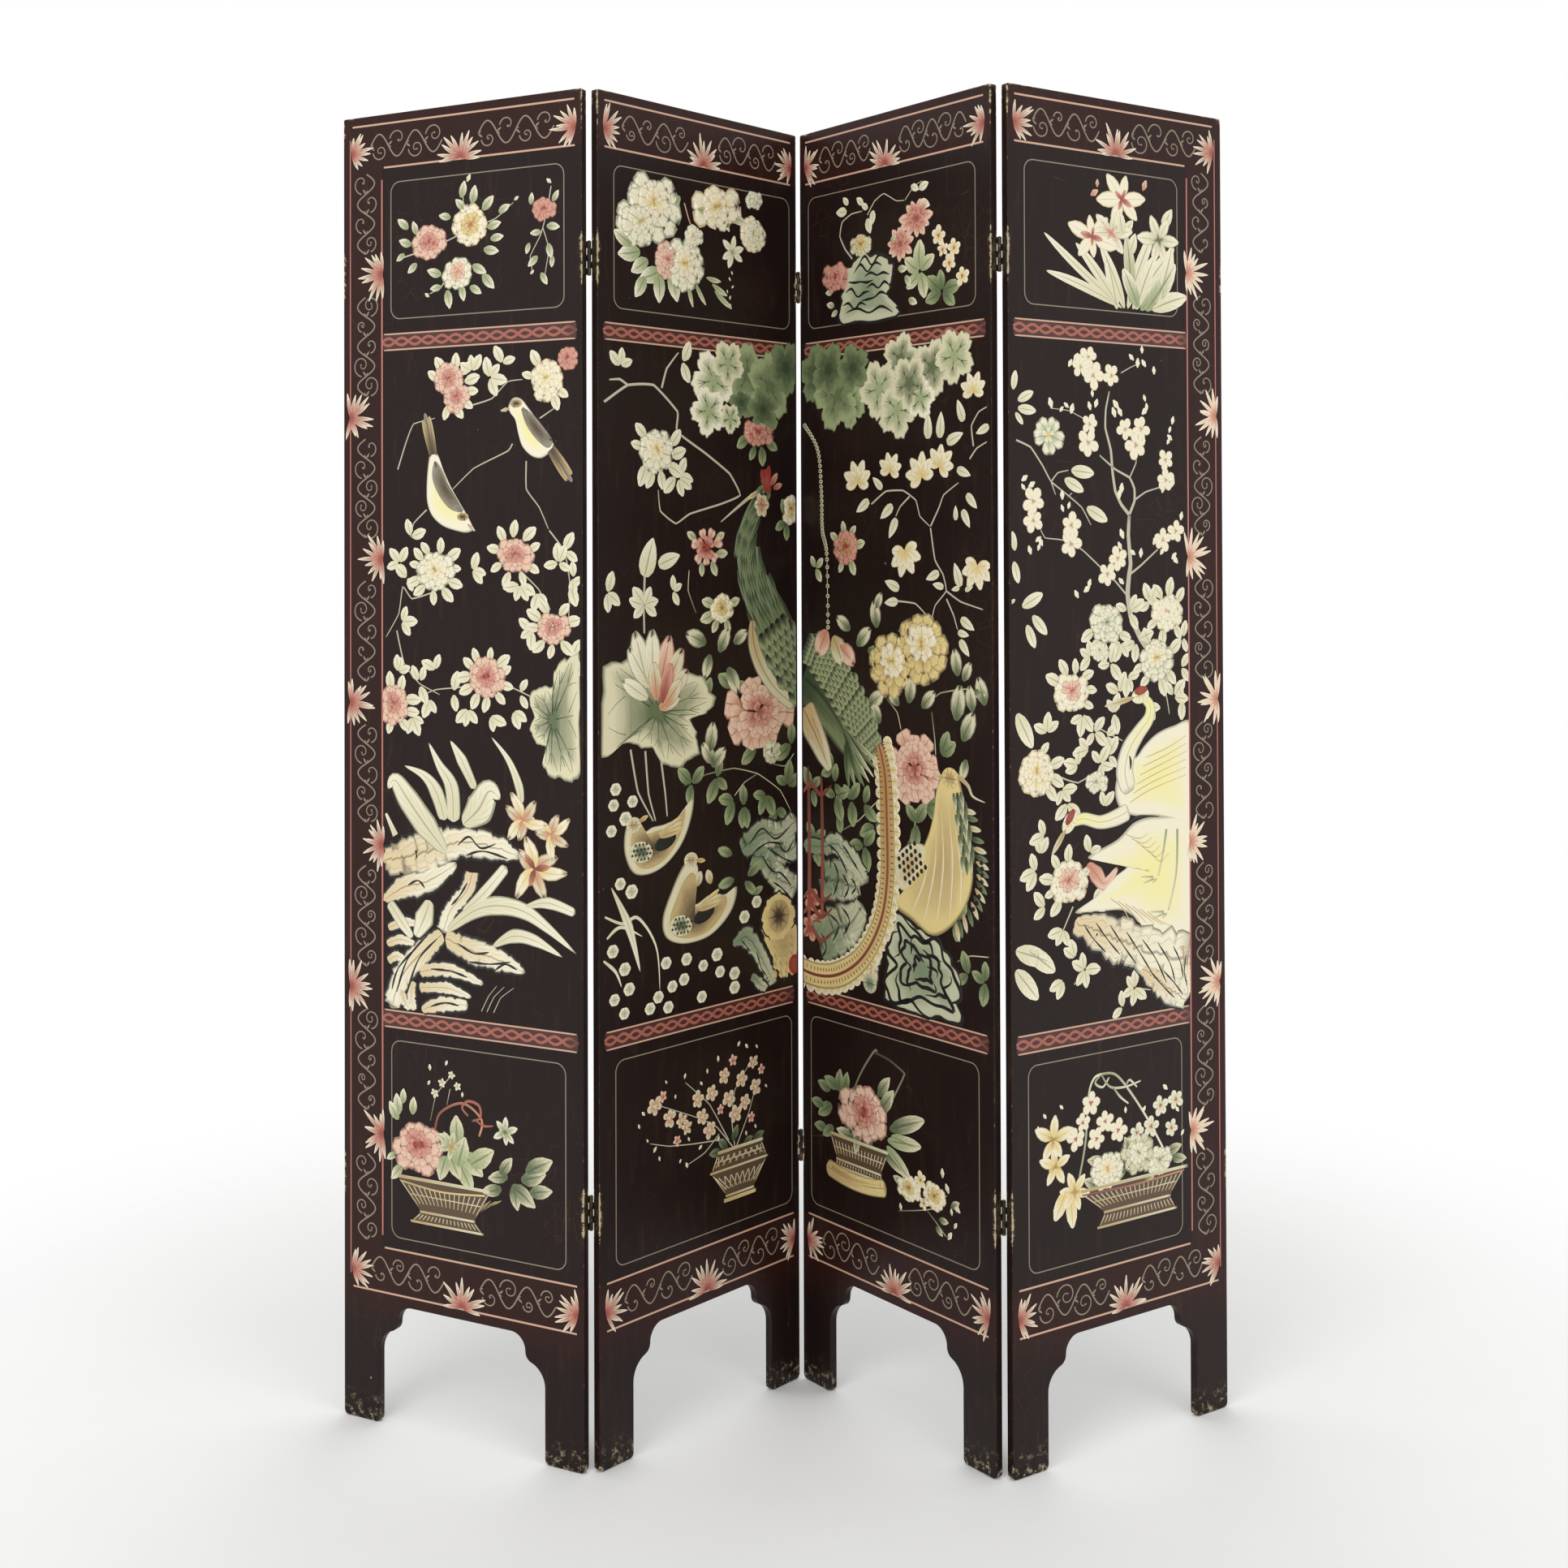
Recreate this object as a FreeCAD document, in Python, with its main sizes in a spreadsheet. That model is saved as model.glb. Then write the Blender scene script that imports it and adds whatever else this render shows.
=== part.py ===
"""A four-leaf folding screen, 1.83 m high, standing in its zigzag.

Each leaf is a flush frame of stiles and rails round three thin boards. The outer stiles run down
as legs, and the bottom rail is sawn to a stepped apron between them. Two butt hinges join each pair
of neighbours, with their pins behind the leaves at the first and third joints and before them at
the second, so that the screen folds up like a concertina.

A leaf's own frame has X from its left edge to its right, Y through its thickness from the middle,
with the painted face at the low side, and Z up from the floor. Lengths are in millimetres.
"""
import FreeCAD, Part
import math
import os
import re
import Sketcher

# Driving dimensions

SIZES = {
    # Leaves
    "leaf_height": 1830.0,
    "leaf_width": 400.0,
    "leaf_thickness": 12.0,
    "arris_width": 0.8,
    "top_corner_round": 3.0,
    # Legs and the stepped cut-out between them
    "leg_width": 62.0,
    "leg_rise": 100.0,
    "foot_round": 7.0,
    "cove_radius": 32.0,
    "ear_radius": 14.0,
    "apron_rise": 167.0,
    # Frame
    "stile_width": 84.0,
    "top_rail_width": 77.0,
    "cross_rail_width": 44.0,
    "apron_width": 77.0,
    "top_board_height": 223.0,
    "bottom_board_height": 299.0,
    # Joinery
    "groove_width": 4.0,
    "groove_depth": 6.0,
    "tenon_length": 30.0,
    "tenon_shoulder": 9.0,
    "joint_slack": 0.1,
    "end_slack": 0.5,
    # Hinges
    "hinge_length": 45.0,
    "upper_hinge_drop": 225.0,
    "lower_hinge_rise": 340.0,
    "leaf_gap": 7.0,
    "pin_standoff": 0.6,
    "barrel_radius": 2.8,
    "pin_radius": 1.3,
    "pin_head_radius": 2.2,
    "pin_head_rise": 0.9,
    "pin_head_chamfer": 0.5,
    "running_gap": 0.05,
    "knuckle_gap": 0.3,
    "flap_width": 11.0,
    "flap_thickness": 1.2,
    "flap_corner_round": 1.5,
    # Hinge screws
    "screw_spacing": 28.0,
    "screw_radius": 1.1,
    "screw_head_radius": 2.0,
    "screw_length": 14.0,
}

# Angles in degrees: how far the first leaf is turned, and how far each joint stands open
FIRST_LEAF_TURN = -27.5
JOINT_OPENINGS = (105.0, 80.0, 94.0)
COUNTERSINK_ANGLE = 90.0
STRAIGHT = 180.0

# The side that each joint's pins are on: 1 behind the leaves, -1 before them
PIN_SIDES = (1, -1, 1)
LEAF_COUNT = 4
KNUCKLE_COUNT = 5

doc = FreeCAD.newDocument("FoldingScreen")
sheet = doc.addObject("Spreadsheet::Sheet", "Dimensions")
for row, (name, value) in enumerate(SIZES.items(), start=1):
    sheet.set("A%d" % row, name.replace("_", " "))
    sheet.set("B%d" % row, str(value))
    sheet.setAlias("B%d" % row, name)
doc.recompute()

# Sizes worked out from the driving dimensions, as expressions

FRAME_RIGHT = "leaf_width - stile_width"
COVE_LEAN = "(leg_width + cove_radius - stile_width) / cove_radius"
EAR_LOW = "leg_rise + cove_radius * sqrt(1 - (%s)^2)" % COVE_LEAN
EAR_RIGHT = "stile_width + ear_radius * (1 - %s)" % COVE_LEAN
EAR_TOP = "%s + ear_radius * sqrt(1 - (%s)^2)" % (EAR_LOW, COVE_LEAN)
BROW_RADIUS = "apron_rise - (%s)" % EAR_TOP
BROW_RIGHT = "%s + %s" % (EAR_RIGHT, BROW_RADIUS)
TONGUE_THICKNESS = "groove_width - 2 * joint_slack"
TONGUE_DEPTH = "groove_depth - end_slack"
PIN_TO_EDGE = "leaf_gap / 2"
PIN_TO_MIDDLE = "leaf_thickness / 2 + pin_standoff"
KNUCKLE_PITCH = "hinge_length / %d" % KNUCKLE_COUNT

TOP_RAIL_LOW = "leaf_height - top_rail_width"
UPPER_RAIL_TOP = "%s - top_board_height" % TOP_RAIL_LOW
APRON_TOP = "apron_rise + apron_width"
LOWER_RAIL_LOW = "%s + bottom_board_height" % APRON_TOP

# The rails of a leaf, each with its lower and upper edge at the stile
RAILS = {
    "top_rail": (TOP_RAIL_LOW, "leaf_height"),
    "upper_rail": ("%s - cross_rail_width" % UPPER_RAIL_TOP, UPPER_RAIL_TOP),
    "lower_rail": (LOWER_RAIL_LOW, "%s + cross_rail_width" % LOWER_RAIL_LOW),
    "apron_rail": (EAR_LOW, APRON_TOP),
}

# The boards of a leaf, each with the rail under it and the rail over it
BOARDS = {
    "top_board": ("upper_rail", "top_rail"),
    "centre_board": ("lower_rail", "upper_rail"),
    "bottom_board": ("apron_rail", "lower_rail"),
}

HINGE_HEIGHTS = {"upper": "leaf_height - upper_hinge_drop", "lower": "lower_hinge_rise"}


def named(expression):
    """The expression with each size's name tied to its cell; every size has an underscore."""
    return re.sub(r"\b([a-z]+_\w+)\b", r"Dimensions.\1", expression)


def measure(expression):
    """The present value of an expression."""
    value = sheet.evalExpression(named(expression))
    return float(getattr(value, "Value", value))


# Sketches and features


def new_body(label):
    body = doc.addObject("PartDesign::Body", label)
    body.Label = label
    return body


def origin_feature(body, role):
    return next(feature for feature in body.Origin.OriginFeatures if feature.Role == role)


def new_sketch(body, plane, name, offset=None):
    """A sketch on one of the body's own planes, moved along that plane's normal by offset."""
    sketch = body.newObject("Sketcher::SketchObject", "%s_%s" % (body.Name, name))
    sketch.AttachmentSupport = [(origin_feature(body, plane), "")]
    sketch.MapMode = "FlatFace"
    if offset:
        sketch.setExpression("AttachmentOffset.Base.z", named(offset))
    return sketch


def hold(sketch, curve, end, across, up):
    """Hold one end of a curve at two distances from the sketch's origin."""
    for kind, axis, expression in (("DistanceX", -2, across), ("DistanceY", -1, up)):
        if expression == "0":
            sketch.addConstraint(Sketcher.Constraint("PointOnObject", curve, end, axis))
        else:
            held = Sketcher.Constraint(kind, -1, 1, curve, end, measure(expression))
            index = sketch.addConstraint(held)
            sketch.setExpression("Constraints[%d]" % index, named(expression))


def outline(sketch, corners, arcs=None):
    """A closed outline through corners, each an (across, up) pair of expressions.

    arcs maps the number of a corner to the radius and side of the round stretch that leaves it:
    its centre is to the left of the way there when side is 1, and to the right when it is -1.
    """
    arcs = arcs or {}
    points = [FreeCAD.Vector(measure(across), measure(up), 0) for across, up in corners]
    starts = []
    for number, start in enumerate(points):
        finish = points[(number + 1) % len(points)]
        if number not in arcs:
            starts.append((sketch.addGeometry(Part.LineSegment(start, finish)), 1, 2))
            continue
        radius_expression, side = arcs[number]
        radius = measure(radius_expression)
        chord = finish - start
        left = FreeCAD.Vector(-chord.y, chord.x, 0).normalize()
        centre = (start + finish) * 0.5 + left * side * math.sqrt(max(0, radius**2 - chord.Length**2 / 4))
        first, last = (start, finish) if side > 0 else (finish, start)
        angles = [math.atan2(point.y - centre.y, point.x - centre.x) for point in (first, last)]
        circle = Part.Circle(centre, FreeCAD.Vector(0, 0, 1), radius)
        curve = sketch.addGeometry(Part.ArcOfCircle(circle, *angles))
        index = sketch.addConstraint(Sketcher.Constraint("Radius", curve, radius))
        sketch.setExpression("Constraints[%d]" % index, named(radius_expression))
        starts.append((curve, 1, 2) if side > 0 else (curve, 2, 1))
    for number, (curve, start_end, _) in enumerate(starts):
        before, _, before_end = starts[number - 1]
        sketch.addConstraint(Sketcher.Constraint("Coincident", before, before_end, curve, start_end))
        hold(sketch, curve, start_end, *corners[number])


def rectangle(sketch, left, low, right, high):
    outline(sketch, [(left, low), (right, low), (right, high), (left, high)])


def circle(sketch, radius, across="0", up="0"):
    centre = FreeCAD.Vector(measure(across), measure(up), 0)
    curve = sketch.addGeometry(Part.Circle(centre, FreeCAD.Vector(0, 0, 1), measure(radius)))
    index = sketch.addConstraint(Sketcher.Constraint("Radius", curve, measure(radius)))
    sketch.setExpression("Constraints[%d]" % index, named(radius))
    hold(sketch, curve, 3, across, up)


def feature(body, kind, name, sketch, length=None, both_ways=True, reverse=False):
    """A pad or pocket of a sketch. With no length, it goes right through."""
    made = body.newObject("PartDesign::" + kind, "%s_%s" % (body.Name, name))
    made.Profile = sketch
    made.SideType = "Symmetric" if both_ways else "One side"
    made.Reversed = reverse
    if length:
        made.setExpression("Length", named(length))
    else:
        made.Type = "ThroughAll"
    sketch.Visibility = False
    return made


def ease_edges(body, kind, name, size, wanted):
    """Fillet or chamfer the edges of the body's last solid whose box passes the test wanted."""
    doc.recompute()
    solid = body.Tip
    edges = ["Edge%d" % (n + 1) for n, edge in enumerate(solid.Shape.Edges) if wanted(edge.BoundBox)]
    made = body.newObject("PartDesign::" + kind, "%s_%s" % (body.Name, name))
    made.Base = (solid, edges)
    made.setExpression("Radius" if kind == "Fillet" else "Size", named(size))
    return made


def on_a_face(box):
    """Whether an edge lies in the leaf's front or back face."""
    half = measure("leaf_thickness / 2")
    return math.isclose(box.YMin, box.YMax, abs_tol=measure("end_slack")) and math.isclose(
        abs(box.YMin), half, abs_tol=measure("joint_slack")
    )


# Parts of a leaf


def build_stile(label, right_side, hinged):
    """A stile with its leg, cove, mortises and panel groove, drawn from its outer edge inwards."""

    def across(distance):
        return "leaf_width - (%s)" % distance if right_side else distance

    body = new_body(label)
    corners = [
        ("foot_round", "0"),
        ("leg_width - foot_round", "0"),
        ("leg_width", "foot_round"),
        ("leg_width", "leg_rise"),
        ("stile_width", EAR_LOW),
        ("stile_width", "leaf_height"),
        ("top_corner_round", "leaf_height"),
        ("0", "leaf_height - top_corner_round"),
        ("0", "foot_round"),
    ]
    side = -1 if right_side else 1
    arcs = {
        1: ("foot_round", side),
        3: ("cove_radius", -side),
        6: ("top_corner_round", side),
        8: ("foot_round", side),
    }
    face = new_sketch(body, "XZ_Plane", "face")
    outline(face, [(across(x), z) for x, z in corners], arcs)
    feature(body, "Pad", "board", face, "leaf_thickness")

    mortises = new_sketch(body, "XZ_Plane", "mortises")
    for low, high in RAILS.values():
        rectangle(
            mortises,
            across("stile_width - tenon_length - end_slack"),
            "%s + tenon_shoulder - joint_slack" % low,
            across("stile_width"),
            "%s - tenon_shoulder + joint_slack" % high,
        )
    feature(body, "Pocket", "mortise_cuts", mortises, "groove_width")

    groove = new_sketch(body, "XZ_Plane", "groove")
    rectangle(
        groove,
        across("stile_width - groove_depth"),
        "%s - groove_depth" % APRON_TOP,
        across("stile_width"),
        "%s + groove_depth" % TOP_RAIL_LOW,
    )
    feature(body, "Pocket", "groove_cut", groove, "groove_width")

    if hinged:
        pilots = new_sketch(body, "YZ_Plane", "pilots", across("0") if right_side else None)
        for height in HINGE_HEIGHTS.values():
            for sign in "-+":
                up = "%s %s screw_spacing / 2" % (height, sign)
                circle(pilots, "screw_radius + running_gap", "0", up)
        depth = "screw_length - flap_thickness + end_slack"
        feature(body, "Pocket", "pilot_holes", pilots, depth, both_ways=False, reverse=not right_side)

    joint_line = measure(across("stile_width"))
    slack = measure("joint_slack")

    def outer(box):
        on_joint = abs(box.XMin - joint_line) < slack and abs(box.XMax - joint_line) < slack
        return on_a_face(box) and not on_joint

    ease_edges(body, "Chamfer", "arris", "arris_width", outer)
    return body


def build_rail(label, kind):
    """A rail with a tenon at each end and a groove along each edge that meets a board."""
    low, high = RAILS[kind]
    body = new_body(label)
    face = new_sketch(body, "XZ_Plane", "face")
    if kind == "apron_rail":
        left_half = [
            (BROW_RIGHT, "apron_rise"),
            (EAR_RIGHT, EAR_TOP),
            ("stile_width", EAR_LOW),
            ("stile_width", APRON_TOP),
        ]
        right_half = [("leaf_width - (%s)" % x, z) for x, z in reversed(left_half)]
        arcs = {0: (BROW_RADIUS, 1), 1: ("ear_radius", -1), 5: ("ear_radius", -1), 6: (BROW_RADIUS, 1)}
        outline(face, left_half + right_half, arcs)
    else:
        rectangle(face, "stile_width", low, FRAME_RIGHT, high)
    feature(body, "Pad", "board", face, "leaf_thickness")

    tenons = new_sketch(body, "XZ_Plane", "tenons")
    rectangle(
        tenons,
        "stile_width - tenon_length",
        "%s + tenon_shoulder" % ("apron_rise" if kind == "apron_rail" else low),
        "%s + tenon_length" % FRAME_RIGHT,
        "%s - tenon_shoulder" % high,
    )
    feature(body, "Pad", "tenon_pair", tenons, TONGUE_THICKNESS)

    grooves = new_sketch(body, "XZ_Plane", "grooves")
    if kind != "apron_rail":
        rectangle(grooves, "stile_width", low, FRAME_RIGHT, "%s + groove_depth" % low)
    if kind != "top_rail":
        rectangle(grooves, "stile_width", "%s - groove_depth" % high, FRAME_RIGHT, high)
    feature(body, "Pocket", "groove_cuts", grooves, "groove_width")

    slack = measure("joint_slack")
    if kind == "top_rail":
        top = measure("leaf_height")

        def at_top(box):
            return on_a_face(box) and box.ZMin > top - slack

        ease_edges(body, "Chamfer", "arris", "arris_width", at_top)
    if kind == "apron_rail":
        brow = measure("apron_rise")
        left, right = measure("stile_width"), measure(FRAME_RIGHT)

        def shaped(box):
            upright = box.XMax < left + slack or box.XMin > right - slack
            return on_a_face(box) and box.ZMax < brow + slack and not upright

        ease_edges(body, "Chamfer", "arris", "arris_width", shaped)
    return body


def build_board(label, kind):
    """A board that lies flush between two rails, with a tongue all round."""
    below, above = (RAILS[rail] for rail in BOARDS[kind])
    low, high = below[1], above[0]
    body = new_body(label)
    face = new_sketch(body, "XZ_Plane", "face")
    rectangle(face, "stile_width", low, FRAME_RIGHT, high)
    feature(body, "Pad", "field", face, "leaf_thickness")
    tongue = new_sketch(body, "XZ_Plane", "tongue")
    rectangle(
        tongue,
        "stile_width - (%s)" % TONGUE_DEPTH,
        "%s - (%s)" % (low, TONGUE_DEPTH),
        "%s + %s" % (FRAME_RIGHT, TONGUE_DEPTH),
        "%s + %s" % (high, TONGUE_DEPTH),
    )
    feature(body, "Pad", "tongue_rim", tongue, TONGUE_THICKNESS)
    return body


# Hinge parts, in a frame of their own: the pin's axis is Z, the leaf's edge is towards +X, and the
# leaf's thickness is towards +Y


def build_flap(label, first_knuckle):
    """A hinge flap with every other knuckle of the barrel, from first_knuckle up."""
    body = new_body(label)
    inner_side = "%s - flap_thickness" % PIN_TO_EDGE
    plan = new_sketch(body, "XY_Plane", "plan")
    rectangle(plan, inner_side, "barrel_radius", PIN_TO_EDGE, "flap_width")
    feature(body, "Pad", "plate", plan, "hinge_length")

    level = "(%s) * %d - hinge_length / 2 + knuckle_gap / 2" % (KNUCKLE_PITCH, first_knuckle)
    length = "%s - knuckle_gap" % KNUCKLE_PITCH
    web_plan = new_sketch(body, "XY_Plane", "web_plan", level)
    rectangle(web_plan, inner_side, "0", PIN_TO_EDGE, "barrel_radius")
    web = feature(body, "Pad", "web", web_plan, length, both_ways=False)
    barrel_plan = new_sketch(body, "XY_Plane", "barrel_plan", level)
    circle(barrel_plan, "barrel_radius")
    barrel = feature(body, "Pad", "barrel", barrel_plan, length, both_ways=False)

    count = len(range(first_knuckle, KNUCKLE_COUNT, 2))
    doc.recompute()
    pattern = body.newObject("PartDesign::LinearPattern", label + "_knuckles")
    pattern.Originals = [web, barrel]
    pattern.Direction = (origin_feature(body, "Z_Axis"), [""])
    pattern.setExpression("Length", named("(%s) * %d" % (KNUCKLE_PITCH, 2 * (count - 1))))
    pattern.Occurrences = count
    body.Tip = pattern

    bore = new_sketch(body, "XY_Plane", "bore")
    circle(bore, "pin_radius + running_gap")
    feature(body, "Pocket", "bore_cut", bore)

    screws = new_sketch(body, "YZ_Plane", "screw_centres", inner_side)
    hole_radius = "screw_radius + running_gap"
    circle(screws, hole_radius, PIN_TO_MIDDLE, "screw_spacing / 2")
    doc.recompute()
    holes = body.newObject("PartDesign::Hole", label + "_countersinks")
    holes.Profile = screws
    holes.Reversed = True
    holes.DepthType = "ThroughAll"
    holes.HoleCutType = "Countersink"
    holes.HoleCutCustomValues = True
    holes.HoleCutCountersinkAngle = COUNTERSINK_ANGLE
    holes.setExpression("Diameter", named("2 * (%s)" % hole_radius))
    holes.setExpression("HoleCutDiameter", named("2 * (screw_head_radius + running_gap)"))
    doc.recompute()
    pair = body.newObject("PartDesign::Mirrored", label + "_second_countersink")
    pair.Originals = [holes]
    pair.MirrorPlane = (origin_feature(body, "XY_Plane"), [""])
    body.Tip = pair

    far_edge, end = measure("flap_width"), measure("hinge_length / 2")
    slack = measure("joint_slack")

    def free_corner(box):
        along_x = box.YLength < slack and box.ZLength < slack and box.XLength > slack
        return along_x and box.YMin > far_edge - slack and abs(abs(box.ZMin) - end) < slack

    ease_edges(body, "Fillet", "corners", "flap_corner_round", free_corner)
    return body


def build_pin(label):
    """A hinge pin with a low chamfered head at each end."""
    body = new_body(label)
    half = new_sketch(body, "XZ_Plane", "half")
    end = "hinge_length / 2"
    corners = [
        ("0", "0"),
        ("pin_radius", "0"),
        ("pin_radius", end),
        ("pin_head_radius", end),
        ("pin_head_radius", "%s + pin_head_rise - pin_head_chamfer" % end),
        ("pin_head_radius - pin_head_chamfer", "%s + pin_head_rise" % end),
        ("0", "%s + pin_head_rise" % end),
    ]
    outline(half, corners)
    turned = body.newObject("PartDesign::Revolution", label + "_turned")
    turned.Profile = half
    turned.ReferenceAxis = (half, ["V_Axis"])
    doc.recompute()
    whole = body.newObject("PartDesign::Mirrored", label + "_whole")
    whole.Originals = [turned]
    whole.MirrorPlane = (origin_feature(body, "XY_Plane"), [""])
    body.Tip = whole
    return body


def screw_solid():
    """One countersunk screw along +X, with its head level with the flap's face."""
    shank, head = measure("screw_radius"), measure("screw_head_radius")
    length = measure("screw_length")
    cone_depth = (head - shank) / math.tan(math.radians(COUNTERSINK_ANGLE) / 2)
    start = FreeCAD.Vector(measure("%s - flap_thickness" % PIN_TO_EDGE), measure(PIN_TO_MIDDLE), 0)
    along = FreeCAD.Vector(1, 0, 0)
    cone = Part.makeCone(head, shank, cone_depth, start, along)
    body = Part.makeCylinder(shank, length - cone_depth, start + along * cone_depth, along)
    return cone.fuse(body).removeSplitter()


# Where the leaves and hinges stand


def turn(degrees):
    return FreeCAD.Rotation(FreeCAD.Vector(0, 0, 1), degrees)


def leaf_places():
    """The placement of each leaf, worked out joint by joint from the first."""
    across = FreeCAD.Vector(1, 0, 0)
    through = FreeCAD.Vector(0, 1, 0)
    heading = FIRST_LEAF_TURN
    places = [FreeCAD.Placement(FreeCAD.Vector(0, 0, 0), turn(heading))]
    for side, opening in zip(PIN_SIDES, JOINT_OPENINGS):
        standoff = through * side * measure(PIN_TO_MIDDLE)
        pin = places[-1].multVec(across * measure("leaf_width + leaf_gap / 2") + standoff)
        heading += side * (STRAIGHT - opening)
        place = FreeCAD.Placement(FreeCAD.Vector(0, 0, 0), turn(heading))
        place.Base = pin - place.multVec(standoff - across * measure(PIN_TO_EDGE))
        places.append(place)
    return places


def hinge_place(joint, height, leaf_side):
    """The placement of a flap of a joint, in the frame of the leaf on that side of it."""
    side = PIN_SIDES[joint]
    edge = measure("leaf_width") + measure(PIN_TO_EDGE) if leaf_side == "left" else -measure(PIN_TO_EDGE)
    base = FreeCAD.Vector(edge, side * measure(PIN_TO_MIDDLE), measure(height))
    half_turn_axis = {
        ("left", 1): FreeCAD.Vector(0, 0, 1),
        ("left", -1): FreeCAD.Vector(0, 1, 0),
        ("right", 1): FreeCAD.Vector(1, 0, 0),
    }.get((leaf_side, side))
    half_turn = FreeCAD.Rotation(half_turn_axis, STRAIGHT) if half_turn_axis else FreeCAD.Rotation()
    return FreeCAD.Placement(base, half_turn)


# The screen

places = leaf_places()
parts = []


def keep(part, place):
    part.Placement = place
    parts.append(part)


screw_places = [[] for _ in places]
for leaf, place in enumerate(places):
    prefix = "leaf_%d_" % (leaf + 1)
    keep(build_stile(prefix + "left_stile", False, leaf > 0), place)
    keep(build_stile(prefix + "right_stile", True, leaf < LEAF_COUNT - 1), place)
    for kind in RAILS:
        keep(build_rail(prefix + kind, kind), place)
    for kind in BOARDS:
        keep(build_board(prefix + kind, kind), place)

for joint in range(LEAF_COUNT - 1):
    for level, height in HINGE_HEIGHTS.items():
        prefix = "hinge_%d%d_%s_" % (joint + 1, joint + 2, level)
        for leaf_side, leaf, first_knuckle in (("left", joint, 0), ("right", joint + 1, 1)):
            local = hinge_place(joint, height, leaf_side)
            keep(build_flap(prefix + leaf_side + "_flap", first_knuckle), places[leaf] * local)
            for sign in (1, -1):
                lift = FreeCAD.Vector(0, 0, sign * measure("screw_spacing / 2"))
                screw_places[leaf].append(local * FreeCAD.Placement(lift, FreeCAD.Rotation()))
        keep(build_pin(prefix + "pin"), places[joint] * hinge_place(joint, height, "left"))

for leaf, place in enumerate(places):
    screws = doc.addObject("Part::Feature", "leaf_%d_hinge_screws" % (leaf + 1))
    one = screw_solid()
    copies = [one.transformed(spot.toMatrix()) for spot in screw_places[leaf]]
    screws.Shape = Part.makeCompound(copies)
    keep(screws, place)

doc.recompute()

# The origin is on the floor, at the middle of the screen's box

box = FreeCAD.BoundBox()
for part in parts:
    box.add(part.Shape.optimalBoundingBox(False))
shift = FreeCAD.Vector(-box.Center.x, -box.Center.y, -box.ZMin)
for part in parts:
    part.Placement = FreeCAD.Placement(part.Placement.Base + shift, part.Placement.Rotation)
doc.recompute()

failed = [item.Name for item in doc.Objects if "Invalid" in item.State or "Error" in item.State]
failed += [part.Label for part in parts if part.Shape.isNull() or not part.Shape.isValid()]
if failed:
    raise RuntimeError("these could not be built: " + ", ".join(failed))

os.makedirs("parts", exist_ok=True)
for part in parts:
    part.Shape.exportStep("parts/%s.step" % part.Label)

print("parts", len(parts), "size", round(box.XLength, 2), round(box.YLength, 2), round(box.ZLength, 2))
for joint, side in enumerate(PIN_SIDES):
    pin = places[joint].multVec(
        FreeCAD.Vector(measure("leaf_width + leaf_gap / 2"), side * measure(PIN_TO_MIDDLE), 0)
    )
    print("pin", joint + 1, round(pin.x + shift.x, 4), round(pin.y + shift.y, 4))
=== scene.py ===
"""The looks of a four-leaf folding screen: black-brown lacquer, painted birds and flowers, and aged brass hinges.

The paint is low relief. Each stroke, petal, leaf and feather is a small surface worked out on a grid, laid just
in front of its leaf and closed by a lip that dips into the lacquer. Places on a leaf are in millimetres, right
of its left edge and above the floor, as a painter would measure them.
"""

import math

import bpy
import numpy as np
from mathutils import Matrix, Vector


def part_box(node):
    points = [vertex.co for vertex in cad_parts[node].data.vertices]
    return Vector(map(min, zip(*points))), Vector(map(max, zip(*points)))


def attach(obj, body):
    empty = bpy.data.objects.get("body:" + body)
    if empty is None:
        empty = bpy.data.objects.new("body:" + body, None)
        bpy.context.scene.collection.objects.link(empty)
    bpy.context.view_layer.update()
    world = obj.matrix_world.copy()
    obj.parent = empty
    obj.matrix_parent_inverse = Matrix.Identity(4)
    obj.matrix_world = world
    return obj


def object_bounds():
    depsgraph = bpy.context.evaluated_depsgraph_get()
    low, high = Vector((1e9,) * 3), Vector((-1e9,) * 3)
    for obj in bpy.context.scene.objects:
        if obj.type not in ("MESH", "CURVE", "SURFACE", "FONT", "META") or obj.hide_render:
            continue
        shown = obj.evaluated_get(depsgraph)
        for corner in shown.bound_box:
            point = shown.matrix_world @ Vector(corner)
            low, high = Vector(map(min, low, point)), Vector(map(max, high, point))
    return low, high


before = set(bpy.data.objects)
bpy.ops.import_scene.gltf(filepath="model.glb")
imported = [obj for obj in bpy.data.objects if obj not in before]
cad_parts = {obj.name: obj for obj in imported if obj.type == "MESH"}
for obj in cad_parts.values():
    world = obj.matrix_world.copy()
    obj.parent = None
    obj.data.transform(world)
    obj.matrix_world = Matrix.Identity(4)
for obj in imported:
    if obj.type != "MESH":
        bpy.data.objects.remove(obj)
CAD_LOW, CAD_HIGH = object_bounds()

bl_info = {
    "name": "Painted folding screen",
    "version": (1, 0, 0),
    "blender": (4, 5, 0),
    "location": "3D View > Sidebar > Screen",
    "description": "Finishes a four-leaf lacquered screen and paints its fronts with birds and flowers",
    "category": "Object",
}

MM = 0.001
LEAVES = (1, 2, 3, 4)
PAINT_MAP = "OFBake"


def colour(name, description, red, green, blue):
    """A colour of the screen, as sRGB shares of full strength."""
    return bpy.props.FloatVectorProperty(
        name=name, description=description, default=(red, green, blue), subtype="COLOR_GAMMA",
        size=3, min=0.0, max=1.0)


def length(name, description, default):
    """A length of the screen, in metres."""
    return bpy.props.FloatProperty(
        name=name, description=description, default=default, min=0.0, unit="LENGTH", precision=5)


def share(name, description, default):
    """A plain number from nothing to full."""
    return bpy.props.FloatProperty(
        name=name, description=description, default=default, min=0.0, max=1.0, subtype="FACTOR")


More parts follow.
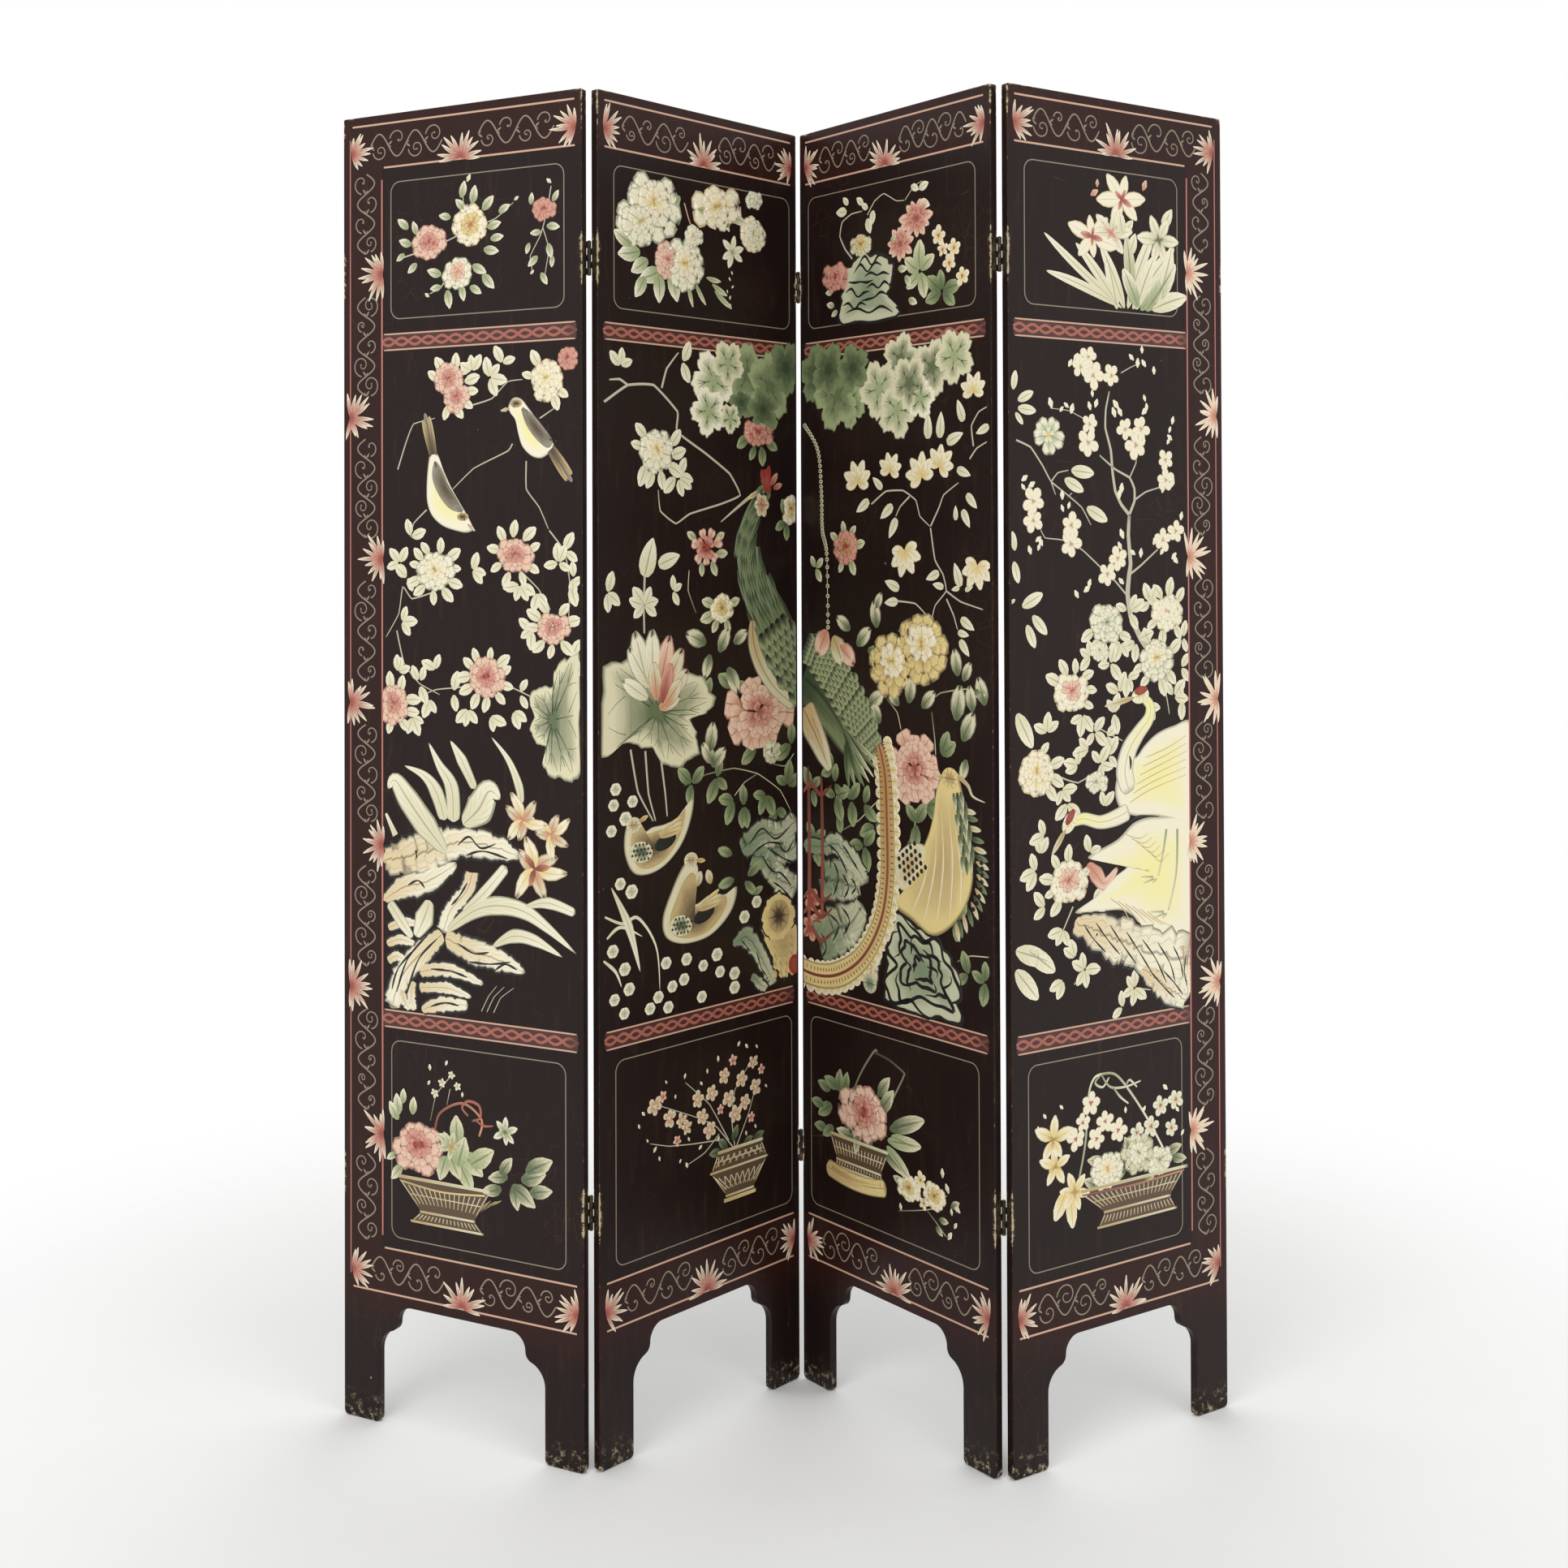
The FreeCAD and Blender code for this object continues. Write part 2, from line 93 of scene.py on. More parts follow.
class ScreenPaints(bpy.types.PropertyGroup):
    """The painter's colours."""

    ivory: colour("Ivory", "Lightest petals and cranes", 0.95, 0.92, 0.81)
    cream: colour("Cream", "Pale edges of leaves and petals", 0.87, 0.84, 0.70)
    straw: colour("Straw", "Yellow peonies and lilies", 0.90, 0.81, 0.55)
    honey: colour("Honey", "Hearts of yellow flowers", 0.72, 0.58, 0.34)
    blush: colour("Blush", "Pale pink petal tips", 0.92, 0.78, 0.68)
    salmon: colour("Salmon", "Pink peonies", 0.80, 0.55, 0.44)
    rose: colour("Rose", "Dark hearts of pink flowers", 0.62, 0.31, 0.26)
    brick: colour("Brick", "Chrysanthemums and drawn lines on pink", 0.50, 0.25, 0.19)
    orange: colour("Orange", "Lilies and lotus tips", 0.80, 0.58, 0.43)
    sage: colour("Sage", "Pale green leaves", 0.62, 0.66, 0.48)
    moss: colour("Moss", "Middle green leaves", 0.37, 0.42, 0.28)
    olive: colour("Olive", "Dark green leaves and drawn lines on green", 0.21, 0.27, 0.17)
    teal: colour("Teal", "Rocks and lotus leaves", 0.49, 0.55, 0.43)
    mist: colour("Mist", "Pale parts of rocks", 0.78, 0.78, 0.65)
    ochre: colour("Ochre", "Rocks, baskets and tails", 0.76, 0.66, 0.46)
    umber: colour("Umber", "Birds' backs and drawn lines on yellow", 0.34, 0.26, 0.18)
    grey: colour("Grey", "Feather lines and grey stems", 0.56, 0.54, 0.46)
    silver: colour("Silver", "Twigs", 0.76, 0.74, 0.64)
    carnation: colour("Carnation", "Tips of the pink petals", 0.84, 0.61, 0.53)
    eggshell: colour("Eggshell", "Middles of the cranes", 0.95, 0.92, 0.64)
    fern: colour("Fern", "Tips of dark green leaves and feathers", 0.47, 0.52, 0.36)
    jade: colour("Jade", "Shaded side of pale green petals", 0.62, 0.70, 0.54)
    shell: colour("Shell", "Pale garden stones", 0.88, 0.80, 0.63)
    vine: colour("Vine", "Scrolls of the borders", 0.54, 0.50, 0.42)
    coral: colour("Coral", "Braid of the bands", 0.66, 0.38, 0.31)
    line: colour("Line", "Cream lines round the fields", 0.80, 0.64, 0.54)
    pink_line: colour("Pink line", "Upright lines of the side borders", 0.74, 0.45, 0.41)
    red: colour("Red", "Crowns, combs and coral bars", 0.62, 0.15, 0.11)
    black: colour("Black", "Holes and drawn lines", 0.06, 0.05, 0.05)
    band: colour("Band", "Dark red ground of the bands", 0.27, 0.12, 0.10)


class ScreenLacquer(bpy.types.PropertyGroup):
    """The lacquer and the brass."""

    ground: colour("Ground", "Black-brown lacquer of fronts and backs", 0.105, 0.072, 0.064)
    warm: colour("Warm ground", "Redder lacquer of the borders", 0.185, 0.088, 0.074)
    raw: colour("Raw edge", "Gesso and wood where the lacquer has chipped", 0.74, 0.69, 0.56)
    rubbed: colour("Rubbed edge", "Brown undercoat where hands have rubbed", 0.30, 0.21, 0.15)
    brass: colour("Brass", "Aged brass of the hinges", 0.47, 0.38, 0.22)
    tarnish: colour("Tarnish", "Dark skin on the brass", 0.13, 0.11, 0.08)
    shine: share("Shine", "Strength of the lacquer's reflections", 0.18)
    gloss: share("Roughness", "Roughness of the lacquer where it is least worn", 0.26)
    chip_reach: length("Chip reach", "How far chips reach in from a leaf's edges beside a hinge", 0.006)


class ScreenRelief(bpy.types.PropertyGroup):
    """The thickness of the paint in front of the lacquer."""

    lip: length("Lip", "How deep the rim of each stroke dips into the lacquer", 0.00003)
    layer: length("Layer", "Height of one layer of paint over the one below", 0.00004)


class ScreenStage(bpy.types.PropertyGroup):
    """The floor, the lamps and the camera."""

    key: bpy.props.FloatProperty(name="Key lamp", description="Power of the large lamp on the left",
                                 default=50.0, min=0.0, unit="POWER")
    fill: bpy.props.FloatProperty(name="Fill lamp", description="Power of the soft lamp on the right",
                                  default=25.0, min=0.0, unit="POWER")
    sky: share("Sky", "Strength of the plain light all round", 0.80)
    lens: bpy.props.FloatProperty(name="Lens", description="Focal length for a 36 mm sensor",
                                  default=44.3, min=1.0, unit="CAMERA")


# Each paint's colours at the root of a stroke, at its tip and along its drawn edge.
PAINTS = {
    "ivory": ("cream", "ivory", "moss"),
    "cream": ("sage", "ivory", "olive"),
    "yellow": ("honey", "straw", "umber"),
    "butter": ("straw", "ivory", "honey"),
    "blush": ("salmon", "blush", "brick"),
    "pink": ("rose", "carnation", "brick"),
    "brick": ("brick", "orange", "rose"),
    "orange": ("orange", "cream", "brick"),
    "palmette": ("rose", "ivory", "salmon"),
    "gilt": ("blush", "ivory", "honey"),
    "petal": ("ivory", "ivory", "ochre"),
    "mint": ("jade", "ivory", "moss"),
    "crane": ("eggshell", "ivory", "grey"),
    "maroon": ("rose", "brick", "black"),
    "shell": ("mist", "ivory", "grey"),
    "stone": ("shell", "ivory", "umber"),
    "blade": ("cream", "ivory", "moss"),
    "scale": ("black", "sage", "black"),
    "sage": ("moss", "cream", "olive"),
    "pale_leaf": ("sage", "cream", "olive"),
    "moss": ("olive", "fern", "black"),
    "green": ("moss", "sage", "olive"),
    "moss_stone": ("teal", "mist", "black"),
    "lotus_leaf": ("moss", "cream", "olive"),
    "plume": ("olive", "fern", "black"),
    "hackle": ("teal", "fern", "black"),
    "ochre": ("ochre", "straw", "umber"),
    "tan": ("ochre", "cream", "umber"),
    "umber": ("umber", "ochre", "black"),
    "grey": ("umber", "grey", "black"),
    "stem": ("silver", "silver", "grey"),
    "vine": ("vine", "vine", "vine"),
    "coral": ("coral", "coral", "band"),
    "line": ("line", "line", "line"),
    "pink_line": ("pink_line", "pink_line", "pink_line"),
    "red": ("rose", "red", "brick"),
    "black": ("black", "black", "black"),
    "band": ("band", "band", "band"),
}
PAINT_ROWS = {name: row for row, name in enumerate(PAINTS)}

# Shares of the paint map that stay free: at the two sides of each paint's row and at its two ends.
SIDE_MARGIN, END_MARGIN = 0.1, 0.02

# How far each kind of paint stands in front of the lacquer, in layers.
BAND, LINE, STEM, LEAF, PETAL, BODY, DETAIL = 1, 2, 2.5, 3.5, 4.5, 4, 8

# Millimetres: the width from which on a stroke is rounded off and domed, the waves of the braids and of the
# border scrolls, and the corners' radius in the small pictures' frames.
WIDE, BRAID_WAVE, SCROLL_WAVE, FRAME_RADIUS = 12, 46, 58, 15


def linear(rgb):
    """Turns an sRGB colour into the linear RGBA that shaders take."""
    rgb = np.array(rgb)
    return (*np.where(rgb <= 0.04045, rgb / 12.92, ((rgb + 0.055) / 1.055) ** 2.4), 1.0)


def steps(count, lip):
    """Shares from 0 to 1 with a short first and last step of size lip, where a surface turns down to its rim."""
    return np.concatenate(([0.0], np.linspace(lip, 1 - lip, count - 2), [1.0]))


def smooth(points, count, closed=False):
    """Points on a smooth line through the given ones: on each span a cubic runs from its first point to its
    second, with the slope at each equal to half the step between that point's neighbours."""
    points = np.asarray(points, float)
    spans = len(points) if closed else len(points) - 1
    at = np.linspace(0, spans, count, endpoint=not closed)
    span = np.minimum(at.astype(int), spans - 1)
    part = (at - span)[:, None]

    def knot(step):
        index = span + step
        return points[index % len(points) if closed else index.clip(0, len(points) - 1)]

    before, start, end, after = knot(-1), knot(0), knot(1), knot(2)
    return 0.5 * (2 * start + (end - before) * part
                  + (2 * before - 5 * start + 4 * end - after) * part ** 2
                  + (3 * start - before - 3 * end + after) * part ** 3)


def disc_grid(count):
    """Radius and angle on a square grid drawn out to a disc, so that it has no pole and no seam: a grid point's
    larger coordinate is its radius, and its angle is a quarter turn times the smaller over the larger."""
    side = 2 * steps(count, 0.03) - 1
    a, b = np.meshgrid(side, side)
    wide = np.abs(a) >= np.abs(b)
    radius = np.where(wide, a, b)
    ratio = np.divide(np.where(wide, b, a), radius, out=np.zeros_like(a), where=radius != 0)
    turn = np.where(wide, np.pi / 4 * ratio, np.pi / 2 - np.pi / 4 * ratio)
    return np.abs(radius), np.arctan2(radius * np.sin(turn), radius * np.cos(turn))


def spread(*values):
    """The values as arrays of one length, with two more axes for the grid of each patch."""
    return [v[:, None, None] for v in np.broadcast_arrays(*(np.atleast_1d(v).astype(float) for v in values))]


def off(place, reach, degrees):
    """The point at a reach from a place, at an angle in degrees. It takes arrays too."""
    turn = np.radians(degrees)
    return place[0] + reach * np.cos(turn), place[1] + reach * np.sin(turn)


class Leaf:
    """Where one leaf stands: the foot of its front's left edge, and the ways to its right and out of its front."""

    def __init__(self, number):
        self.number = number
        self.body = f"leaf_{number}"
        plan = self.corners("top_rail")[:, :2]
        right = np.linalg.svd(plan - plan.mean(0), full_matrices=False)[2][0]
        self.right = np.append(right * np.sign(right[0]), 0.0)
        self.out = np.array((self.right[1], -self.right[0], 0.0))
        left_stile, right_stile = self.corners("left_stile"), self.corners("right_stile")
        self.left = float((left_stile @ self.right).min())
        self.width = float((right_stile @ self.right).max()) - self.left
        self.face = float((left_stile @ self.out).max())
        self.depth = float(np.ptp(left_stile @ self.out))
        self.foot = self.right * self.left + self.out * self.face

    def corners(self, piece):
        """The places of the corners of one of the leaf's pieces."""
        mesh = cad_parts[f"leaf_{self.number}_{piece}"].data
        places = np.empty(len(mesh.vertices) * 3, np.float32)
        mesh.vertices.foreach_get("co", places)
        return places.reshape(-1, 3).astype(float)

    def nodes(self):
        """The wooden pieces of the leaf."""
        return [node for name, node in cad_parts.items()
                if name.startswith(f"leaf_{self.number}_") and "screws" not in name]


class Art:
    """Paint on one leaf, gathered as grids and then made one piece."""

    edge = (4.0, 396.0)

    def __init__(self, leaf, name, seed=0):
        relief = bpy.context.scene.screen_relief
        self.leaf, self.name = leaf, name
        self.layer, self.lip = relief.layer / MM, relief.lip / MM
        self.random = np.random.default_rng(1000 * leaf.number + seed)
        self.places, self.palette, self.faces, self.count = [], [], [], 0

    def add(self, across, up, rise, along, over, paint):
        """Adds grids of one size: places, rise in layers, and the two shares that choose the shade of the paint."""
        across, up, rise, along, over = np.broadcast_arrays(across, up, rise, along, over)
        patches, rows, columns = across.shape
        names = [paint] if isinstance(paint, str) else paint
        row = np.resize([PAINT_ROWS[name] for name in names], patches)[:, None, None]
        corner = np.arange(rows - 1)[:, None] * columns + np.arange(columns - 1)
        ring = np.stack([corner, corner + 1, corner + columns + 1, corner + columns], -1).reshape(-1, 4)
        flat = np.stack([across.reshape(patches, -1), up.reshape(patches, -1)], -1)
        first, second = flat[:, ring[:, 2]] - flat[:, ring[:, 0]], flat[:, ring[:, 3]] - flat[:, ring[:, 1]]
        turned = (first[..., 0] * second[..., 1] - first[..., 1] * second[..., 0]).sum(1) < 0
        quads = np.where(turned[:, None, None], ring[None, :, ::-1], ring[None])
        starts = self.count + np.arange(patches)[:, None, None] * rows * columns
        self.faces.append((quads + starts).reshape(-1, 4))
        self.places.append(np.stack([across, up, rise * self.layer], -1).reshape(-1, 3))
        shade = (row + SIDE_MARGIN + (1 - 2 * SIDE_MARGIN) * over) / len(PAINTS)
        self.palette.append(np.stack([END_MARGIN + (1 - 2 * END_MARGIN) * along, shade], -1).reshape(-1, 2))
        self.count += patches * rows * columns

    def dipped(self, rise, *rims):
        """The rise, sunk into the lacquer where any of the given conditions holds."""
        sunk = np.logical_or.reduce(np.broadcast_arrays(*rims))
        return np.where(sunk, -self.lip / self.layer, rise)

    def blades(self, x, z, angle, length, width, paint, rise=LEAF, bend=0.0, swell=0.6, taper=0.6, tilt=0.0,
               dome=0.6, grid=(7, 7), edged=False, ruffle=0.0):
        """Petals, leaves, feathers or rays. A spine leaves (x, z) at an angle in degrees and bends sideways by
        its length times bend times the square of the share along it. The width across it is width times
        s ** swell * (1 - s) ** taper, scaled so that it reaches 1. The rise is highest on the spine.
        A ruffle notches the tip by that share of the length; an edged blade has a drawn line round it."""
        x, z, angle, length, width, rise, bend, tilt = spread(x, z, angle, length, width, rise, bend, tilt)
        s, t = steps(grid[0], 0.04)[None, :, None], 2 * steps(grid[1], 0.06)[None, None, :] - 1
        fullest = swell / (swell + taper)
        outline = s ** swell * (1 - s) ** taper / (fullest ** swell * (1 - fullest) ** taper)
        side = np.maximum(outline, 0.04) * width / 2 * t + bend * length * s ** 2
        turn = np.radians(angle)
        reach = length * s * (1 - ruffle * s * (0.5 - 0.5 * np.cos(2 * np.pi * t)))
        across = x + reach * np.cos(turn) - side * np.sin(turn)
        up = z + reach * np.sin(turn) + side * np.cos(turn)
        height = self.dipped(rise + tilt * s + dome * (1 - t ** 2), np.abs(t) == 1, s == 0, s == 1)
        self.add(across, up, height, s * (1.0 if edged else 0.86), 0.5 + (0.5 if edged else 0.32) * t, paint)

    def stroke(self, points, width, paint, rise=STEM, count=None, dome=0.3):
        """A stroke of the brush along a smooth line through the points, as wide as the widths that are spread
        evenly along it. It is the line moved sideways by its half width times a share from -1 to 1."""
        path = smooth(points, count or 6 * len(points))
        self.strokes(path[None], width, paint, rise, dome=dome, ends=0.07 if max(width) >= WIDE else 0.0)

    def strokes(self, paths, width, paint, rise=STEM, closed=False, dome=0.3, ends=0.0):
        """Many strokes at once, from an array of lines with equal numbers of points. Each is rounded off over the
        given share at its two ends: there its width falls with the square root of the way left."""
        if paths.shape[1] == 2:
            paths = paths[:, :1] + np.linspace(0, 1, 4)[:, None] * (paths[:, 1:] - paths[:, :1])
        step = np.gradient(paths, axis=1)
        if closed:
            step[:, 0] = step[:, -1] = paths[:, 1] - paths[:, -2]
        step /= np.maximum(np.linalg.norm(step, axis=2, keepdims=True), 1e-9)
        s = np.linspace(0, 1, paths.shape[1])
        half = np.interp(s, np.linspace(0, 1, len(width)), width)[None, :, None] / 2
        if ends:
            half = half * np.sqrt(np.clip(np.minimum(s, 1 - s) / ends, 0.003, 1))[None, :, None]
        t = np.array((-1, -0.8, 0.8, 1.0)) if max(width) < WIDE else 2 * steps(9, 0.04) - 1
        t = t[None, None, :]
        across = paths[..., 0, None] - half * t * step[..., 1, None]
        up = paths[..., 1, None] + half * t * step[..., 0, None]
        tips = (s[None, :, None] % 1 == 0) & (not closed)
        height = self.dipped(rise + dome * (1 - t ** 2), np.abs(t) == 1, tips)
        self.add(across, up, height, s[None, :, None], 0.5 + 0.5 * t, paint)

    def discs(self, x, z, across, up, paint, rise, lobes=5, depth=0.0, turn=0.0, dome=1.0, count=9):
        """Round or lobed patches: an ellipse whose radius swells by depth at each of its lobes."""
        x, z, across, up, turn, rise = spread(x, z, across, up, turn, rise)
        radius, angle = (grid[None] for grid in disc_grid(count))
        swell = 1 + depth * (np.abs(np.cos(angle * lobes / 2)) - 0.6) * radius
        a, b = radius * swell * across * np.cos(angle), radius * swell * up * np.sin(angle)
        turn = np.radians(turn)
        height = self.dipped(rise + dome * (1 - radius ** 2), radius == 1)
        vein = 0.5 + 0.3 * np.sin(angle * lobes) * radius
        self.add(x + a * np.cos(turn) - b * np.sin(turn), z + a * np.sin(turn) + b * np.cos(turn), height,
                 radius, vein, paint)

    def form(self, outline, centre, paint, rise, dome=1.0, count=15):
        """A patch inside a smooth closed outline: each outline point drawn in to the centre by a radius."""
        radius, angle = disc_grid(count)
        rim = smooth(outline, 240, closed=True)
        rim = rim[(angle / (2 * np.pi) % 1 * 240).round().astype(int) % 240]
        place = np.array(centre) + radius[..., None] * (rim - np.array(centre))
        height = self.dipped(rise + dome * (1 - radius ** 2), radius == 1)
        self.add(place[None, ..., 0], place[None, ..., 1], height[None], radius[None],
                 (0.40 + 0.05 * np.sin(7 * angle) * radius)[None], paint)

    def leaves(self, places, about, length, width, paint="cream"):
        """Leaves centred on the places, each pointing away from the point that they grow about."""
        places = np.array(places, float) + self.random.uniform(-3, 3, (len(places), 2))
        away = places - np.array(about, float)
        angle = np.degrees(np.arctan2(away[:, 1], away[:, 0])) + self.random.uniform(-34, 34, len(places))
        size = self.random.uniform(0.75, 1.25, len(places))
        lengths = length * size
        x, z = off(places.T, -lengths / 2, angle)
        rises = LEAF + 0.8 * (np.arange(len(places)) % 3)
        bend = self.random.uniform(-0.12, 0.12, len(places))
        self.blades(x, z, angle, lengths, width * size, paint, rises, bend, 0.55, 0.75)

    def flower(self, x, z, across, up, rings, rise=PETAL, turn=None, swell=0.75, taper=0.3, ruffle=0.0):
        """A flower of rings of petals, each ring given as its petals' number, start, end and width as shares of
        the flower, and paint. Inner rings lie over outer ones. A petal reaches as far as the ellipse whose half
        axes are across and up does at its angle."""
        turn = self.random.uniform(0, 360) if turn is None else turn
        for index, (number, start, end, wide, paint) in enumerate(rings):
            angle = turn + 360 / number * (np.arange(number) + 0.5 * (index % 2))
            angle = angle + self.random.uniform(-11, 11, number)
            turned = np.radians(angle)
            reach = across * up / np.hypot(up * np.cos(turned), across * np.sin(turned))
            reach = reach * self.random.uniform(0.88, 1.07, number)
            rises = rise + index + 0.5 * (np.arange(number) % 2)
            length, grid = (end - start) * reach, (7, 9) if across > 12 else (5, 5)
            self.blades(*off((x, z), start * reach, angle), angle, length, wide * (end - start) * reach, paint,
                        rises, swell=swell, taper=taper, grid=grid, edged=True, ruffle=ruffle)

    def peony(self, x, z, across, up, outer, inner, heart):
        """A full flower: two rings of broad notched petals round a cup that sits above its middle."""
        petals = (6, 0.14, 1.0, 1.22, outer), (5, 0.10, 0.80, 1.22, outer)
        self.flower(x, z, across, up, petals, taper=0.36, ruffle=0.10)
        petals = (5, 0.0, 1.0, 1.0, inner), (3, 0.0, 0.62, 1.05, inner), (2, 0.0, 0.34, 1.2, heart)
        self.flower(x, z + 0.10 * up, 0.58 * across, 0.58 * up, petals, PETAL + 2.2, ruffle=0.10)

    def cup(self, x, z, size, lean):
        """A magnolia seen from its side: six pointed petals in a fan over its lean, and three shorter ones before
        them."""
        back, front = np.array((-104, 104, -64, 66, -24, 22)), np.array((-44, 48, 4))
        reach = size * np.array((0.8, 0.84, 1.0, 1.05, 1.1, 1.06))
        self.blades(x, z, lean + back, reach, 0.56 * size, "butter", PETAL + 0.5 * np.arange(6), taper=0.55,
                    edged=True)
        self.blades(x, z, lean + front, 0.74 * size, 0.5 * size, "butter", PETAL + 3.4, taper=0.5, edged=True)

    def sprigs(self, x, z, reach, angles, length, paint, scatter):
        """Leaves that stand out round a flower or a node, each from the reach at its angle, turned by up to the
        scatter in degrees."""
        angle, number = np.array(angles, float), len(angles)
        size = length * self.random.uniform(0.95, 1.4, number)
        lean = angle + self.random.uniform(-scatter, scatter, number)
        bend = self.random.uniform(-0.14, 0.14, number)
        rise = LEAF - 0.6 + 0.4 * (np.arange(number) % 3)
        self.blades(*off((x, z), 0.8 * reach, angle), lean, size, 0.60 * size, paint, rise, bend, taper=0.62)

    def daisy(self, x, z, across, up, outer, inner):
        """A chrysanthemum: five rings of short round petals that lap like tiles."""
        self.flower(x, z, across, up, (
            (10, 0.52, 1.00, 1.3, outer), (10, 0.36, 0.81, 1.2, outer), (8, 0.22, 0.62, 1.2, outer),
            (6, 0.10, 0.43, 1.2, inner), (3, 0.0, 0.25, 1.3, inner)), swell=0.85, taper=0.3)

    def lily(self, x, z, across, up, paint, heart, turn, petals=6):
        """An open flower of pointed petals."""
        self.flower(x, z, across, up, ((petals, 0.06, 1.0, 0.52, paint), (petals - 2, 0.0, 0.42, 0.5, heart)),
                    turn=turn, swell=0.6, taper=0.7)

    def blossoms(self, places, size, paint, heart="yellow"):
        """Plum blossoms: five round petals and a heart at each place."""
        for x, z in places:
            reach = size * self.random.uniform(0.85, 1.15)
            self.flower(x, z, reach, reach, ((5, 0.05, 1.0, 0.82, paint), (3, 0.0, 0.26, 1.0, heart)), taper=0.5)

    def buds(self, places, size, paint="ivory"):
        """Small closed buds."""
        places = np.array(places, float)
        angle = 90 + self.random.uniform(-60, 60, len(places))
        length = size * self.random.uniform(0.8, 1.3, len(places))
        self.blades(places[:, 0], places[:, 1], angle, length, 0.62 * length, paint, grid=(5, 5))

    def twig(self, points, width=(2.4, 1.4), paint="stem"):
        """A branch that bends rather sharply at each point and thins to its tip: halfway between the smooth line
        through the points and the straight ones."""
        points = np.array(points, float)
        number = 6 * (len(points) - 1) + 1
        at = np.linspace(0, len(points) - 1, number)
        straight = np.stack([np.interp(at, np.arange(len(points)), points[:, axis]) for axis in (0, 1)], 1)
        path = 0.65 * straight + 0.35 * smooth(points, number)
        self.strokes(path[None], width, paint)

    def palmette(self, x, z, angle, length=40.0, opening=190.0, rays=11, paint="palmette"):
        """A fan of thin pointed rays of uneven reach round a redder one, from a base on a border line."""
        fan = np.linspace(-0.5, 0.5, rays)
        reach = length * (1.08 - 0.7 * fan ** 2) * self.random.uniform(0.72, 1.08, rays)
        self.blades(x, z, angle + opening * fan + self.random.uniform(-6, 6, rays), reach, 0.15 * length, paint,
                    LEAF + 0.5 * (np.arange(rays) % 2), self.random.uniform(-0.12, 0.12, rays), 0.5, 0.6)
        fan = np.linspace(-0.46, 0.46, rays - 4)
        inner = "blush" if paint == "gilt" else "pink"
        self.blades(x, z, angle + opening * fan, 0.42 * length, 0.17 * length, inner, LEAF + 1.6, swell=0.5,
                    taper=0.5, grid=(5, 5))

    def scroll(self, start, end, breadth):
        """A running vine. Its stem is a sine wave between the two ends; in each hollow a tendril leaves the stem
        and winds in as a spiral whose radius falls evenly with its angle, with a small leaf at its root."""
        start, end = np.array(start, float), np.array(end, float)
        span = np.linalg.norm(end - start)
        if span < 20:
            return
        along = (end - start) / span
        aside = np.array((-along[1], along[0]))
        halves = max(int(round(2 * span / SCROLL_WAVE)), 2)
        s = np.linspace(0, 1, 10 * halves + 1)[:, None]
        sway = 0.27 * breadth * np.sin(np.pi * halves * s)
        self.strokes((start + s * span * along + sway * aside)[None], (2.2,), "vine")
        pitch = span / halves
        hollow = np.arange(halves)
        side = np.where(hollow % 2, 1.0, -1.0)[:, None, None]
        tau = np.linspace(0, 1, 22)[None, :, None]
        size = self.random.uniform(0.6, 1.2, halves)[:, None, None]
        radius = 0.24 * breadth * size * (1 - 0.86 * tau)
        turn = np.pi + side * 2 * np.pi * self.random.uniform(0.75, 1.35, halves)[:, None, None] * tau
        middle = start + ((hollow + 0.55) * pitch)[:, None, None] * along + side * 0.13 * breadth * aside
        spiral = middle + radius * (np.cos(turn) * along - np.sin(turn) * aside)
        self.strokes(spiral, (2.1, 1.4), "vine", STEM + 0.3)
        heading = np.degrees(np.arctan2(along[1], along[0]))
        root = start + (hollow * pitch)[:, None] * along
        for lean, size in ((38, 9.0), (-30, 6.0)):
            self.blades(root[:, 0], root[:, 1], heading + lean * side[:, 0, 0], size, 0.36 * size, "vine",
                        LEAF, grid=(5, 5))
        self.blades(spiral[:, -1, 0], spiral[:, -1, 1], heading, 3.2, 3.0, "vine", LEAF, grid=(5, 5))

    def rule(self, *points, paint="line", width=2.8):
        """A straight line of the border, ruled from point to point."""
        ends = np.array(points, float)
        path = ends[0] + np.linspace(0, 1, 25)[:, None] * (ends[1] - ends[0])
        self.strokes(path[None], (width,), paint, LINE, dome=0.2)

    def reserve(self, left, right, low, high):
        """The line round a small picture: four straight sides and four round corners."""
        radius, quarter = FRAME_RADIUS, np.linspace(0, np.pi / 2, 7)
        corners = []
        for x, z, turn in ((right - radius, high - radius, 0), (left + radius, high - radius, 1),
                           (left + radius, low + radius, 2), (right - radius, low + radius, 3)):
            angle = quarter + turn * np.pi / 2
            corners.append(np.stack([x + radius * np.cos(angle), z + radius * np.sin(angle)], 1))
        ring = np.concatenate(corners + [corners[0][:1]])
        gap = np.linalg.norm(np.diff(ring, axis=0), axis=1)
        at = np.concatenate(([0], np.cumsum(gap)))
        even = np.unique(np.concatenate([at, np.linspace(0, at[-1], 60)]))
        path = np.stack([np.interp(even, at, ring[:, 0]), np.interp(even, at, ring[:, 1])], 1)
        self.strokes(path[None], (1.6,), "vine", LINE, closed=True, dome=0.2)

